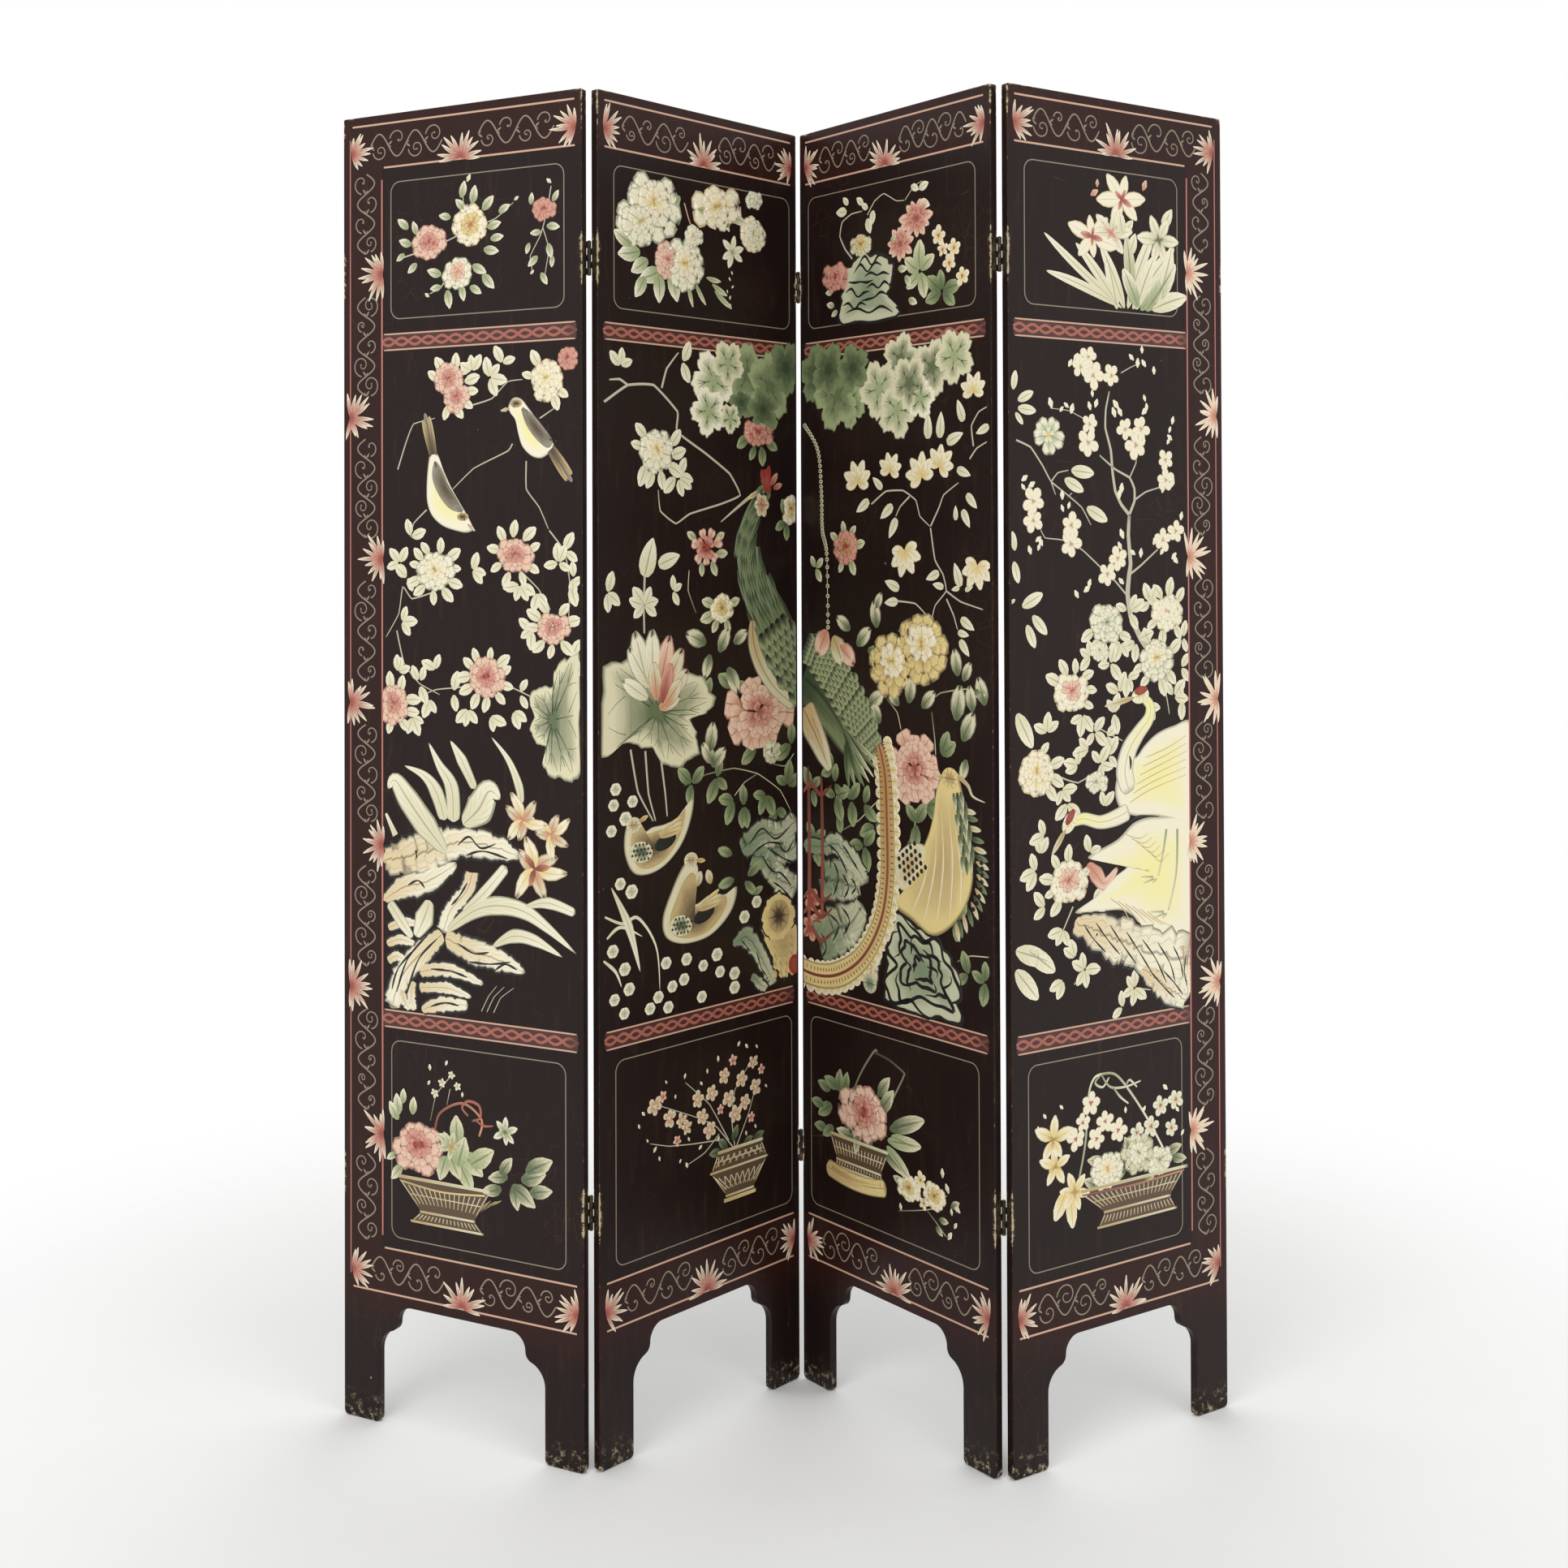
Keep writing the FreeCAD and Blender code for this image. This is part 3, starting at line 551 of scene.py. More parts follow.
    def braid(self, left, right, low, high):
        """A band between two lines, with two strands that cross as sine waves of opposite sign."""
        middle = (low + high) / 2
        x = np.linspace(left, right, 90)
        block = np.stack(np.broadcast_arrays(x, middle), 1)
        self.strokes(block[None], (high - low,), "band", BAND, dome=0.0)
        sway = 0.23 * (high - low) * np.sin(2 * np.pi * (x - left) / BRAID_WAVE)
        for side in (1, -1):
            path = np.stack([x, middle + side * sway], 1)
            self.strokes(path[None], (4.6,), "coral", LINE + 0.5 * side)
        for z in (low, high):
            self.rule((left, z), (right, z), width=2.4)

    def contours(self, outline, centre, shares, width, rise):
        """Drawn lines inside a form, as on the garden stones of such paintings: its outline is drawn in to the
        centre by each share and made to waver, and each line breaks off before it closes."""
        rim = smooth(outline, 96, closed=True)
        angle = np.linspace(0, 2 * np.pi, 96, endpoint=False)[:, None]
        for index, draw in enumerate(shares):
            waver = 1 + 0.11 * np.sin(6 * angle + 2.3 * index) + 0.07 * np.sin(11 * angle + 1.7 * index)
            path = np.array(centre) + draw * waver * (rim - np.array(centre))
            start = 29 * index % 96
            path = np.roll(path, -start, axis=0)
            self.strokes(np.stack([path[2:46], path[50:94]]), (0.8, width, 0.7 * width, width, 0.8), "black", rise)

    def stone(self, outline, centre, paint, rise=BODY):
        """A garden stone of uneven outline over a dark one a little wider."""
        middle = np.array(centre, float)
        angle = np.linspace(0, 2 * np.pi, 96, endpoint=False)[:, None]
        away = smooth(outline, 96, closed=True) - middle
        away *= 1 + 0.03 * np.sin(9 * angle) + 0.025 * np.sin(16 * angle + 1) + 0.02 * np.sin(23 * angle + 2)
        wider = away * (1 + 3 / np.linalg.norm(away, axis=1, keepdims=True))
        self.form(middle + wider, centre, "black", rise, dome=0.2, count=25)
        self.form(middle + away, centre, paint, rise + 1.5, count=25)

    def slab(self, spine, widths, cracks, paint, crack=4.4):
        """A ledge of garden rock: a ragged band along a smooth line over a darker and wider one, with drawn cracks
        that run along it."""
        count = 9 * len(spine)
        path = smooth(spine, count)
        ragged = np.interp(np.linspace(0, 1, count), np.linspace(0, 1, len(widths)), widths)
        path += self.random.uniform(-0.05, 0.05, (count, 1)) * ragged[:, None]
        ragged = ragged * self.random.uniform(0.84, 1.12, count)
        self.strokes(path[None], ragged + 5, "black", BODY, dome=0.2, ends=0.05)
        self.strokes(path[None], ragged, paint, BODY + 1.2, dome=1.4, ends=0.05)
        for line in cracks:
            self.stroke(line, (0.8, crack, 0.5 * crack, crack, 0.8), "black", BODY + 3.4, 24)

    def feathers(self, points, width, rows, length, paint, rise, wide, taper=0.4):
        """Scales of plumage over a body: rows of short blades in staggered order, along a smooth line."""
        path = smooth(points, 60)
        widths = np.interp(np.linspace(0, 1, 60), np.linspace(0, 1, len(width)), width)
        run = np.concatenate(([0], np.cumsum(np.linalg.norm(np.diff(path, axis=0), axis=1))))
        number = max(int(run[-1] / (0.55 * length)), 2)
        x, z, angle, level = [], [], [], []
        for row in range(number):
            at = np.searchsorted(run, run[-1] * (row + 0.5) / (number + 0.8)).clip(1, 58)
            step = path[at + 1] - path[at - 1]
            step = step / np.linalg.norm(step)
            aside = (np.arange(rows) + 0.5 * (row % 2) - (rows - 1) / 2) / rows
            offset = aside * 0.86 * widths[at]
            x.extend(path[at, 0] - offset * step[1])
            z.extend(path[at, 1] + offset * step[0])
            angle.extend(np.full(rows, np.degrees(np.arctan2(step[1], step[0]))))
            level.extend(np.full(rows, rise + 0.03 * (number - row)))
        self.blades(np.array(x), np.array(z), np.array(angle), length, wide * length, paint, np.array(level),
                    swell=0.5, taper=taper, tilt=0.5, grid=(6, 5), edged=True)

    def quills(self, root, angles, length, width, paint, rise, bend=0.1):
        """Long feathers that fan from a root."""
        angles = np.array(angles, float)
        self.blades(root[0], root[1], angles, length, width, paint, rise + 0.5 * (np.arange(len(angles)) % 3),
                    bend, swell=0.3, taper=0.5, grid=(9, 5))

    def eye(self, x, z, size=2.6):
        """A pale eye with a dark pupil."""
        self.discs(x, z, size, size, "ivory", DETAIL, count=5)
        self.discs(x, z, size * 0.5, size * 0.5, "black", DETAIL + 2, count=5)

    def basket(self, foot, low, high, ribs, lattice=False):
        """Open wickerwork in two panels, between three level edges, each given as left, right and height: a dark
        ground, ribs or a lattice, a cross rib and a rim."""
        s, t = steps(5, 0.05)[:, None], steps(15, 0.03)[None, :]
        for under, over, number in ((foot, low, ribs), (low, high, ribs)):
            left, right = under[0] + s * (over[0] - under[0]), under[1] + s * (over[1] - under[1])
            across = left + t * (right - left)
            up = np.broadcast_to(under[2] + s * (over[2] - under[2]), across.shape)
            height = self.dipped(BODY + 1.0 * np.sin(np.pi * t), s == 0, s == 1, t == 0, t == 1)
            self.add(across[None], up[None], height[None], np.array(0.05), np.array(0.40), "umber")
            place = np.linspace(0.02, 0.98, number)
            for slant in (-0.2, 0.2) if lattice else (0.0,):
                top = (place + slant).clip(0.02, 0.98)
                start = np.stack(np.broadcast_arrays(under[0] + place * (under[1] - under[0]), under[2] + 1.0), 1)
                end = np.stack(np.broadcast_arrays(over[0] + top * (over[1] - over[0]), over[2] - 1.0), 1)
                self.strokes(np.stack([start, end], 1), (1.7,), "tan", BODY + 2.6, dome=0.2)
            self.stroke(((under[0] - 2, under[2]), (under[1] + 2, under[2])), (3.6,), "tan", BODY + 3, 12)
        middle = (low[0] + high[0]) / 2, (low[1] + high[1]) / 2, (low[2] + high[2]) / 2
        self.stroke(((middle[0], middle[2]), (middle[1], middle[2])), (1.7,), "tan", BODY + 3, 12)
        self.stroke(((high[0] - 4, high[2]), (high[1] + 4, high[2])), (5.0,), "tan", BODY + 3, 12)

    def make(self):
        """Makes the piece: cuts it at the leaf's edges, sets it on the leaf and gives it the paint."""
        leaf = self.leaf
        place, faces = np.concatenate(self.places), np.concatenate(self.faces)
        palette = np.concatenate(self.palette)
        inside = place[:, 0].clip(*self.edge)
        cut = inside != place[:, 0]
        faces = faces[~cut[faces].all(1)]
        place[:, 0] = inside
        world = (leaf.foot + place[:, :1] * MM * leaf.right + place[:, 2:] * MM * leaf.out
                 + place[:, 1:2] * MM * np.array((0, 0, 1)))
        kept, faces = np.unique(faces, return_inverse=True)
        faces = faces.reshape(-1, 4)
        world, palette = world[kept], palette[kept]
        mesh = bpy.data.meshes.new(self.name)
        mesh.vertices.add(len(world))
        mesh.vertices.foreach_set("co", world.astype(np.float32).ravel())
        mesh.loops.add(faces.size)
        mesh.loops.foreach_set("vertex_index", faces.astype(np.int32).ravel())
        mesh.polygons.add(len(faces))
        mesh.polygons.foreach_set("loop_start", np.arange(0, faces.size, 4, dtype=np.int32))
        mesh.update(calc_edges=True)
        mesh.polygons.foreach_set("use_smooth", np.ones(len(faces), bool))
        uv = mesh.uv_layers.new(name=PAINT_MAP)
        uv.data.foreach_set("uv", palette[faces.ravel()].astype(np.float32).ravel())
        piece = bpy.data.objects.new(self.name, mesh)
        bpy.context.scene.collection.objects.link(piece)
        mesh.materials.append(painted())
        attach(piece, leaf.body)
        return piece


# Where the lacquer is worn, in metres: from its first trace to its full, counted from a hinge's middle, from the
# top edge, in from a corner and from the floor.
HINGE_WEAR, TOP_WEAR, CORNER_WEAR, FOOT_WEAR = (0.044, 0.018), (0.07, 0.01), (0.06, 0.0), (0.045, 0.002)

# How deep the front's lacquer counts as front, and the heights where the feet's plainer lacquer ends.
FRONT_DEPTH, FOOT_FADE = (0.004, 0.001), (0.12, 0.18)


class Value:
    """What a shader node puts out. Sums, products and the like of such values make the nodes that reckon them."""

    def __init__(self, shader, socket):
        self.shader, self.socket = shader, socket

    def __add__(self, other):
        return self.shader.maths("ADD", self, other)

    def __sub__(self, other):
        return self.shader.maths("SUBTRACT", self, other)

    def __rsub__(self, other):
        return self.shader.maths("SUBTRACT", other, self)

    def __mul__(self, other):
        return self.shader.maths("MULTIPLY", self, other)

    def __truediv__(self, other):
        return self.shader.maths("DIVIDE", self, other)

    def __pow__(self, other):
        return self.shader.maths("POWER", self, other)

    def __abs__(self):
        return self.shader.maths("ABSOLUTE", self)

    def least(self, other):
        return self.shader.maths("MINIMUM", self, other)

    def most(self, other):
        return self.shader.maths("MAXIMUM", self, other)

    def step(self, low, high):
        """Rises smoothly from 0 at low to 1 at high, or falls if low is the larger."""
        return self.shader.value("ShaderNodeMapRange", {0: self, 1: low, 2: high, 3: 0.0, 4: 1.0},
                                 interpolation_type="SMOOTHSTEP")

    def past(self, line, side=1):
        """Rises to 1 where the value passes a ruled line, upwards or, with side -1, downwards."""
        return self.step((line - side / 2) * MM, (line + side / 2) * MM)


class Shader:
    """A material's nodes, with short names for the ones used here."""

    def __init__(self, name):
        self.material = bpy.data.materials.new(name)
        self.material.use_nodes = True
        self.tree = self.material.node_tree
        self.skin = self.tree.nodes["Principled BSDF"]

    def node(self, kind, links=(), **settings):
        made = self.tree.nodes.new(kind)
        for name, value in settings.items():
            setattr(made, name, value)
        self.fill(made, dict(links))
        return made

    def fill(self, node, links):
        """Gives the node's inputs their values, as links or as plain numbers."""
        for name, value in links.items():
            if isinstance(value, Value):
                self.tree.links.new(value.socket, node.inputs[name])
            else:
                node.inputs[name].default_value = value

    def value(self, kind, links=(), output=0, **settings):
        return Value(self, self.node(kind, links, **settings).outputs[output])

    def maths(self, operation, first, second=0.0):
        return self.value("ShaderNodeMath", {0: first, 1: second}, operation=operation)

    def place(self):
        return self.value("ShaderNodeTexCoord", output="Object")

    def parts(self, vector):
        """A vector's three parts."""
        split = self.node("ShaderNodeSeparateXYZ", {0: vector})
        return [Value(self, socket) for socket in split.outputs]

    def vector(self, x, y, z):
        return self.value("ShaderNodeCombineXYZ", {0: x, 1: y, 2: z})

    def dot(self, vector, way):
        return self.value("ShaderNodeVectorMath", {0: vector, 1: tuple(way)}, "Value", operation="DOT_PRODUCT")

    def noise(self, vector, scale, detail=4.0, roughness=0.6):
        return self.value("ShaderNodeTexNoise", {"Vector": vector, "Scale": scale, "Detail": detail,
                                                 "Roughness": roughness})

    def mix(self, factor, first, second):
        return self.value("ShaderNodeMix", {0: factor, 6: first, 7: second}, 2, data_type="RGBA")

    def bump(self, height, distance, strength):
        return self.value("ShaderNodeBump", {"Height": height, "Distance": distance, "Strength": strength})

    def finish(self, **looks):
        """Gives the skin its looks, each named as its input with a low line for a space. Returns the material."""
        self.fill(self.skin, {name.replace("_", " "): value for name, value in looks.items()})
        return self.material


def painted():
    """The paint of every stroke. It reads only the paint map: the row says which paint, the way along a row runs
    from a petal's or leaf's root to its tip, and the way across it darkens to a drawn edge."""
    if "painted relief" in bpy.data.materials:
        return bpy.data.materials["painted relief"]
    paints = bpy.context.scene.screen_paints
    shader = Shader("painted relief")
    along, row, _ = shader.parts(shader.value("ShaderNodeUVMap", uv_map=PAINT_MAP))
    number, half = len(PAINTS), len(PAINTS) // 2

    def table(end):
        """Ramps with one plain colour for each paint: two of them, since a ramp holds no more than 32 colours."""
        colours = [linear(getattr(paints, shades[end])) for shades in PAINTS.values()]
        ramps = []
        for first, part in ((0, colours[:half]), (half, colours[half:])):
            ramp = shader.node("ShaderNodeValToRGB", {0: row})
            stops = ramp.color_ramp
            stops.interpolation = "CONSTANT"
            for index, paint in enumerate(part):
                stop = stops.elements[index] if index < 2 else stops.elements.new(1.0)
                stop.position, stop.color = (first + index) / number, paint
            ramps.append(Value(shader, ramp.outputs[0]))
        return shader.mix(shader.maths("GREATER_THAN", row, half / number), *ramps)

    root, tip, edge = table(0), table(1), table(2)
    over = shader.maths("FRACT", row * float(number))
    aside = abs(over - 0.5) * (1 / (0.5 - SIDE_MARGIN))
    streaks = shader.noise(shader.vector(along * 2.5, over * 12.0, row), 1.0, 3.0)
    blend = along + aside ** 2.0 * 0.45 + (streaks - 0.5) * 0.7
    body = shader.mix(blend.step(0.18, 0.92), root, tip)
    barbs = shader.maths("SINE", (along + aside * -0.45) * 44.0).step(0.55, 1.0) * aside.step(0.25, 0.40)
    rim = aside.step(0.74, 0.92).most(along.step(0.90, 0.97))
    vein = aside.step(0.09, 0.03) * 0.7
    lines = rim.most(vein).most(barbs * 0.28)
    return shader.finish(Base_Color=shader.mix(lines * 0.78, body, edge), Roughness=streaks * 0.25 + 0.36)


def lacquer(leaf):
    """Black-brown lacquer, redder in the borders, mottled and faintly crazed, with a soft waviness, rubbed and
    chipped along the leaf's edges, most of all beside its hinges and at its feet. It is worked out in the
    leaf's own directions, so that every piece of the leaf carries one finish."""
    looks = bpy.context.scene.screen_lacquer
    ground, warm, rubbed, raw = (linear(paint) for paint in (looks.ground, looks.warm, looks.rubbed, looks.raw))
    shader = Shader(f"lacquer of {leaf.body}")
    place = shader.place()
    x = shader.dot(place, leaf.right) - leaf.left
    y = leaf.face - shader.dot(place, leaf.out)
    z = shader.parts(place)[2]
    own = shader.vector(x, y, z + 2.7 * leaf.number)
    height = CAD_HIGH.z
    aside = x.least(leaf.width - x)
    rim = aside.least(height - z).most(y.least(leaf.depth - y))

    mottle = shader.noise(own, 7.0, 5.0)
    grain = shader.noise(shader.value("ShaderNodeMapping", {0: own, 3: (9.0, 9.0, 1.2)}), 9.0, 6.0)
    fine = shader.noise(own, 420.0, 3.0)
    coarse = shader.noise(own, 95.0, 5.0, 0.7)

    border = z.past(TOP_BORDER).most(z.past(LOW_BORDER, -1))
    if leaf.number in INNER_LINES:
        border = border.most(x.past(INNER_LINES[leaf.number], -1 if leaf.number == LEAVES[0] else 1))
    border = border * y.step(*FRONT_DEPTH) * z.step(*FOOT_FADE)
    tone = shader.mix(border * 0.75 + mottle * 0.35, ground, warm)
    tone = shader.mix(grain.step(0.52, 0.80) * 0.35, tone, rubbed)

    crazing = shader.value("ShaderNodeTexVoronoi", {"Vector": own, "Scale": 38.0}, "Distance",
                           feature="DISTANCE_TO_EDGE")
    crack = crazing.step(0.018, 0.0) * mottle.step(0.50, 0.66)
    tone = shader.mix(crack * 0.55, tone, rubbed)

    by_hinge = []
    for hinge in ("upper", "lower"):
        low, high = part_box(f"hinge_{min(leaf.number, 3)}{min(leaf.number, 3) + 1}_{hinge}_left_flap")
        by_hinge.append(abs(z - (low.z + high.z) / 2).step(*HINGE_WEAR))
    corner = (height - z).step(*TOP_WEAR) * aside.step(*CORNER_WEAR)
    hinged = by_hinge[0].most(by_hinge[1]).most(corner * 0.7)
    torn = coarse + fine * 0.25 + hinged * 0.05
    close = rim / (hinged * looks.chip_reach + looks.chip_reach * 0.16)
    rubbing = (torn - close * 0.28).step(0.46, 0.58)
    scuffs = z.step(*FOOT_WEAR) * torn.step(0.64, 0.80)
    nicks = shader.noise(own, 55.0, 2.0).step(0.75, 0.78) * 0.6
    chipping = (torn - close * 0.36).step(0.56, 0.62).most(scuffs.most(nicks))
    tone = shader.mix(rubbing * 0.8, tone, rubbed)
    tone = shader.mix(chipping * 0.9, tone, raw)

    worn = rubbing.most(chipping)
    waves = shader.noise(own, 22.0, 2.0) + grain * 0.30 - worn * 0.6 - crack * 0.25
    return shader.finish(Base_Color=tone, Specular_IOR_Level=looks.shine,
                         Roughness=mottle * 0.16 + looks.gloss + worn * 0.35,
                         Normal=shader.bump(waves, 0.0004, 0.6))


def aged_brass(name, bright):
    """Brass gone dark in its hollows: tarnish in soft clouds and fine specks over a dull metal."""
    looks = bpy.context.scene.screen_lacquer
    shader = Shader(name)
    place = shader.place()
    clouds = shader.noise(place, 120.0, 5.0, 0.65)
    skin = (clouds + shader.noise(place, 700.0, 3.0) * 0.3).step(bright, bright + 0.3)
    return shader.finish(Base_Color=shader.mix(skin, linear(looks.brass), linear(looks.tarnish)),
                         Metallic=1.0 - skin * 0.45, Roughness=skin * 0.3 + 0.30,
                         Normal=shader.bump(clouds, 0.0002, 0.5))


def finish_with(node, material):
    """Gives every slot of a carried-over node the material."""
    if not node.data.materials:
        node.data.materials.append(material)
    for index in range(len(node.data.materials)):
        node.data.materials[index] = material


# Millimetres: heights of the ruled lines above the floor, and places of the upright ones from a leaf's left edge.
TOP_LINE, TOP_BORDER, UPPER_BAND, LOWER_BAND = 1817.0, 1755.0, (1498.0, 1520.0), (553.0, 576.0)
LOW_BORDER, LOW_LINE = 244.5, 182.0
TOP_RESERVE, LOW_RESERVE = (1541.0, 1733.0), (262.0, 535.0)
OUTER_LINES, INNER_LINES = {1: 12.0, 4: 387.0}, {1: 68.0, 4: 331.0}
FIELD = {1: (68.0, 393.0), 2: (9.0, 391.0), 3: (9.0, 391.0), 4: (8.0, 331.0)}
RESERVE_SIDES = {1: (84.0, 372.0), 2: (30.0, 384.0), 3: (20.0, 371.0), 4: (29.0, 312.0)}
TOP_PALMETTES = {1: 203.0, 2: 203.0, 3: 190.0, 4: 195.0}
LOW_PALMETTES = {1: 203.0, 2: 205.0, 3: 200.0, 4: 203.0}
SIDE_PALMETTES_IN, SIDE_PALMETTES_OUT = (1605.0, 1205.0, 805.0, 402.0), (1405.0, 1003.0, 603.0)

# Where the large pictures of the outer leaves are cut off, at the left and at the right.
FIELD_EDGES = {1: (69.5, 396.0), 4: (4.0, 329.5)}

# A corner palmette's place in from its line's end and above the line, its turn from level, and its length,
# opening and number of rays. The gaps are those that a scroll leaves at a corner, a palmette and a ruled line.
CORNER_IN, CORNER_UP, CORNER_TURN, CORNER_FAN = 3, 24, 10, (36, 150, 9)
CORNER_GAP, PALMETTE_GAP, LINE_GAP = 36, 30, 6


def paint_borders(leaf):
    """Ruled lines, braided bands, running scrolls and palmettes."""
    art = Art(leaf, f"leaf_{leaf.number}_borders")
    left, right = FIELD[leaf.number]
    first = OUTER_LINES[1] if leaf.number == 1 else left
    last = OUTER_LINES[4] if leaf.number == 4 else right
    for z in (TOP_LINE, LOW_LINE):
        art.rule((first, z), (last, z))
    for z in (TOP_BORDER, LOW_BORDER):
        art.rule((left, z), (right, z))
    for low, high in (UPPER_BAND, LOWER_BAND):
        art.braid(left, right, low, high)
    for low, high in (TOP_RESERVE, LOW_RESERVE):
        art.reserve(*RESERVE_SIDES[leaf.number], low, high)
    for low, high, place in ((TOP_BORDER, TOP_LINE, TOP_PALMETTES[leaf.number]),
                             (LOW_LINE, LOW_BORDER, LOW_PALMETTES[leaf.number])):
        middle = (low + high) / 2
        art.palmette(place, low + 2, 90)
        art.palmette(first + CORNER_IN, low + CORNER_UP, CORNER_TURN, *CORNER_FAN)
        art.palmette(last - CORNER_IN, low + CORNER_UP, 180 - CORNER_TURN, *CORNER_FAN)
        art.scroll((first + CORNER_GAP, middle), (place - PALMETTE_GAP, middle), high - low)
        art.scroll((place + PALMETTE_GAP, middle), (last - CORNER_GAP, middle), high - low)
    if leaf.number in INNER_LINES:
        inner, outer = INNER_LINES[leaf.number], OUTER_LINES[leaf.number]
        inward = 180.0 if leaf.number == 1 else 0.0
        art.rule((inner, LOW_BORDER), (inner, TOP_BORDER), paint="pink_line", width=2.6)
        art.rule((outer, LOW_LINE), (outer, TOP_LINE), paint="pink_line", width=1.8)
        middle = (inner + outer) / 2
        breadth = abs(inner - outer)
        stops = sorted((*SIDE_PALMETTES_IN, *SIDE_PALMETTES_OUT))
        paint = "palmette" if leaf.number == 1 else "gilt"
        for z in SIDE_PALMETTES_IN:
            art.palmette(inner, z, inward, paint=paint)
        for z in SIDE_PALMETTES_OUT:
            art.palmette(outer, z, 180.0 - inward, paint=paint)
        for low, high in zip((LOW_BORDER + LINE_GAP, *stops), (*stops, TOP_BORDER - LINE_GAP)):
            low_gap = PALMETTE_GAP if low in stops else 0
            high_gap = PALMETTE_GAP if high in stops else 0
            art.scroll((middle, low + low_gap), (middle, high - high_gap), breadth)
    art.make()


def top_flowers_1(art):
    """Three peonies in a spray, and a small spray to their right."""
    art.twig(((100, 1625), (135, 1632), (170, 1640), (215, 1655), (262, 1668), (292, 1688)))
    art.twig(((198, 1640), (208, 1680), (207, 1716)))
    art.twig(((185, 1600), (170, 1580), (150, 1572)))
    art.twig(((352, 1705), (345, 1670), (335, 1640), (318, 1612), (322, 1590)), (1.8, 1.2))
    art.twig(((338, 1650), (348, 1620), (340, 1578)), (1.6, 1.1))
    art.peony(220, 1660, 31, 30, "butter", "yellow", "pink")
    art.peony(150, 1643, 34, 24, "blush", "pink", "pink")
    art.peony(198, 1597, 26, 25, "ivory", "blush", "yellow")
    art.peony(340, 1674, 20, 16, "pink", "pink", "red")
    art.leaves(((105, 1672), (107, 1648), (101, 1626), (120, 1612), (128, 1668)), (148, 1643), 22, 12)
    art.leaves(((180, 1676), (204, 1695), (208, 1714), (228, 1706), (250, 1690), (278, 1682), (262, 1660)),
               (218, 1655), 22, 12)
    art.leaves(((256, 1625), (266, 1641), (163, 1580), (160, 1603), (232, 1601), (183, 1563), (206, 1567),
                (247, 1580), (228, 1575)), (200, 1610), 23, 12)
    art.leaves(((353, 1650), (360, 1690), (322, 1688), (313, 1622), (320, 1603), (347, 1618), (338, 1583),
                (328, 1645), (352, 1600)), (338, 1650), 17, 9)
    art.buds(((292, 1690), (214, 1722), (150, 1568), (352, 1708), (318, 1588)), 9)


def top_flowers_2(art):
    """Large cream peonies that hang from the top, with blades and white blossoms."""
    art.peony(105, 1690, 62, 36, "ivory", "butter", "yellow")
    art.peony(80, 1660, 46, 34, "ivory", "ivory", "yellow")
    art.peony(230, 1700, 58, 30, "butter", "butter", "yellow")
    art.peony(165, 1612, 40, 38, "ivory", "butter", "yellow")
    art.peony(132, 1615, 29, 27, "blush", "blush", "pink")
    art.peony(306, 1672, 28, 26, "butter", "ivory", "yellow")
    art.peony(308, 1722, 20, 12, "cream", "ivory", "yellow")
    art.peony(182, 1655, 20, 17, "ivory", "ivory", "yellow")
    art.leaves(((75, 1605), (80, 1572), (118, 1573), (142, 1580), (60, 1620), (48, 1640), (100, 1590)),
               (125, 1625), 38, 22)
    art.leaves(((120, 1697), (142, 1692), (205, 1692), (215, 1680), (250, 1682), (272, 1690)), (170, 1720), 34, 14)
    art.blades((186, 172, 208, 220, 225), (1590, 1588, 1600, 1592, 1583), (-60, -80, -12, -30, -38),
               (36, 34, 30, 34, 42), (8, 8, 8, 9, 9), "pale_leaf", bend=0.1)
    art.lily(262, 1642, 27, 27, "ivory", "cream", 20)
    art.twig(((164, 1700), (176, 1672), (200, 1650)), paint="line")
    art.buds(((258, 1600), (260, 1590), (252, 1582), (256, 1573), (259, 1562), (262, 1609)), 6, "ivory")


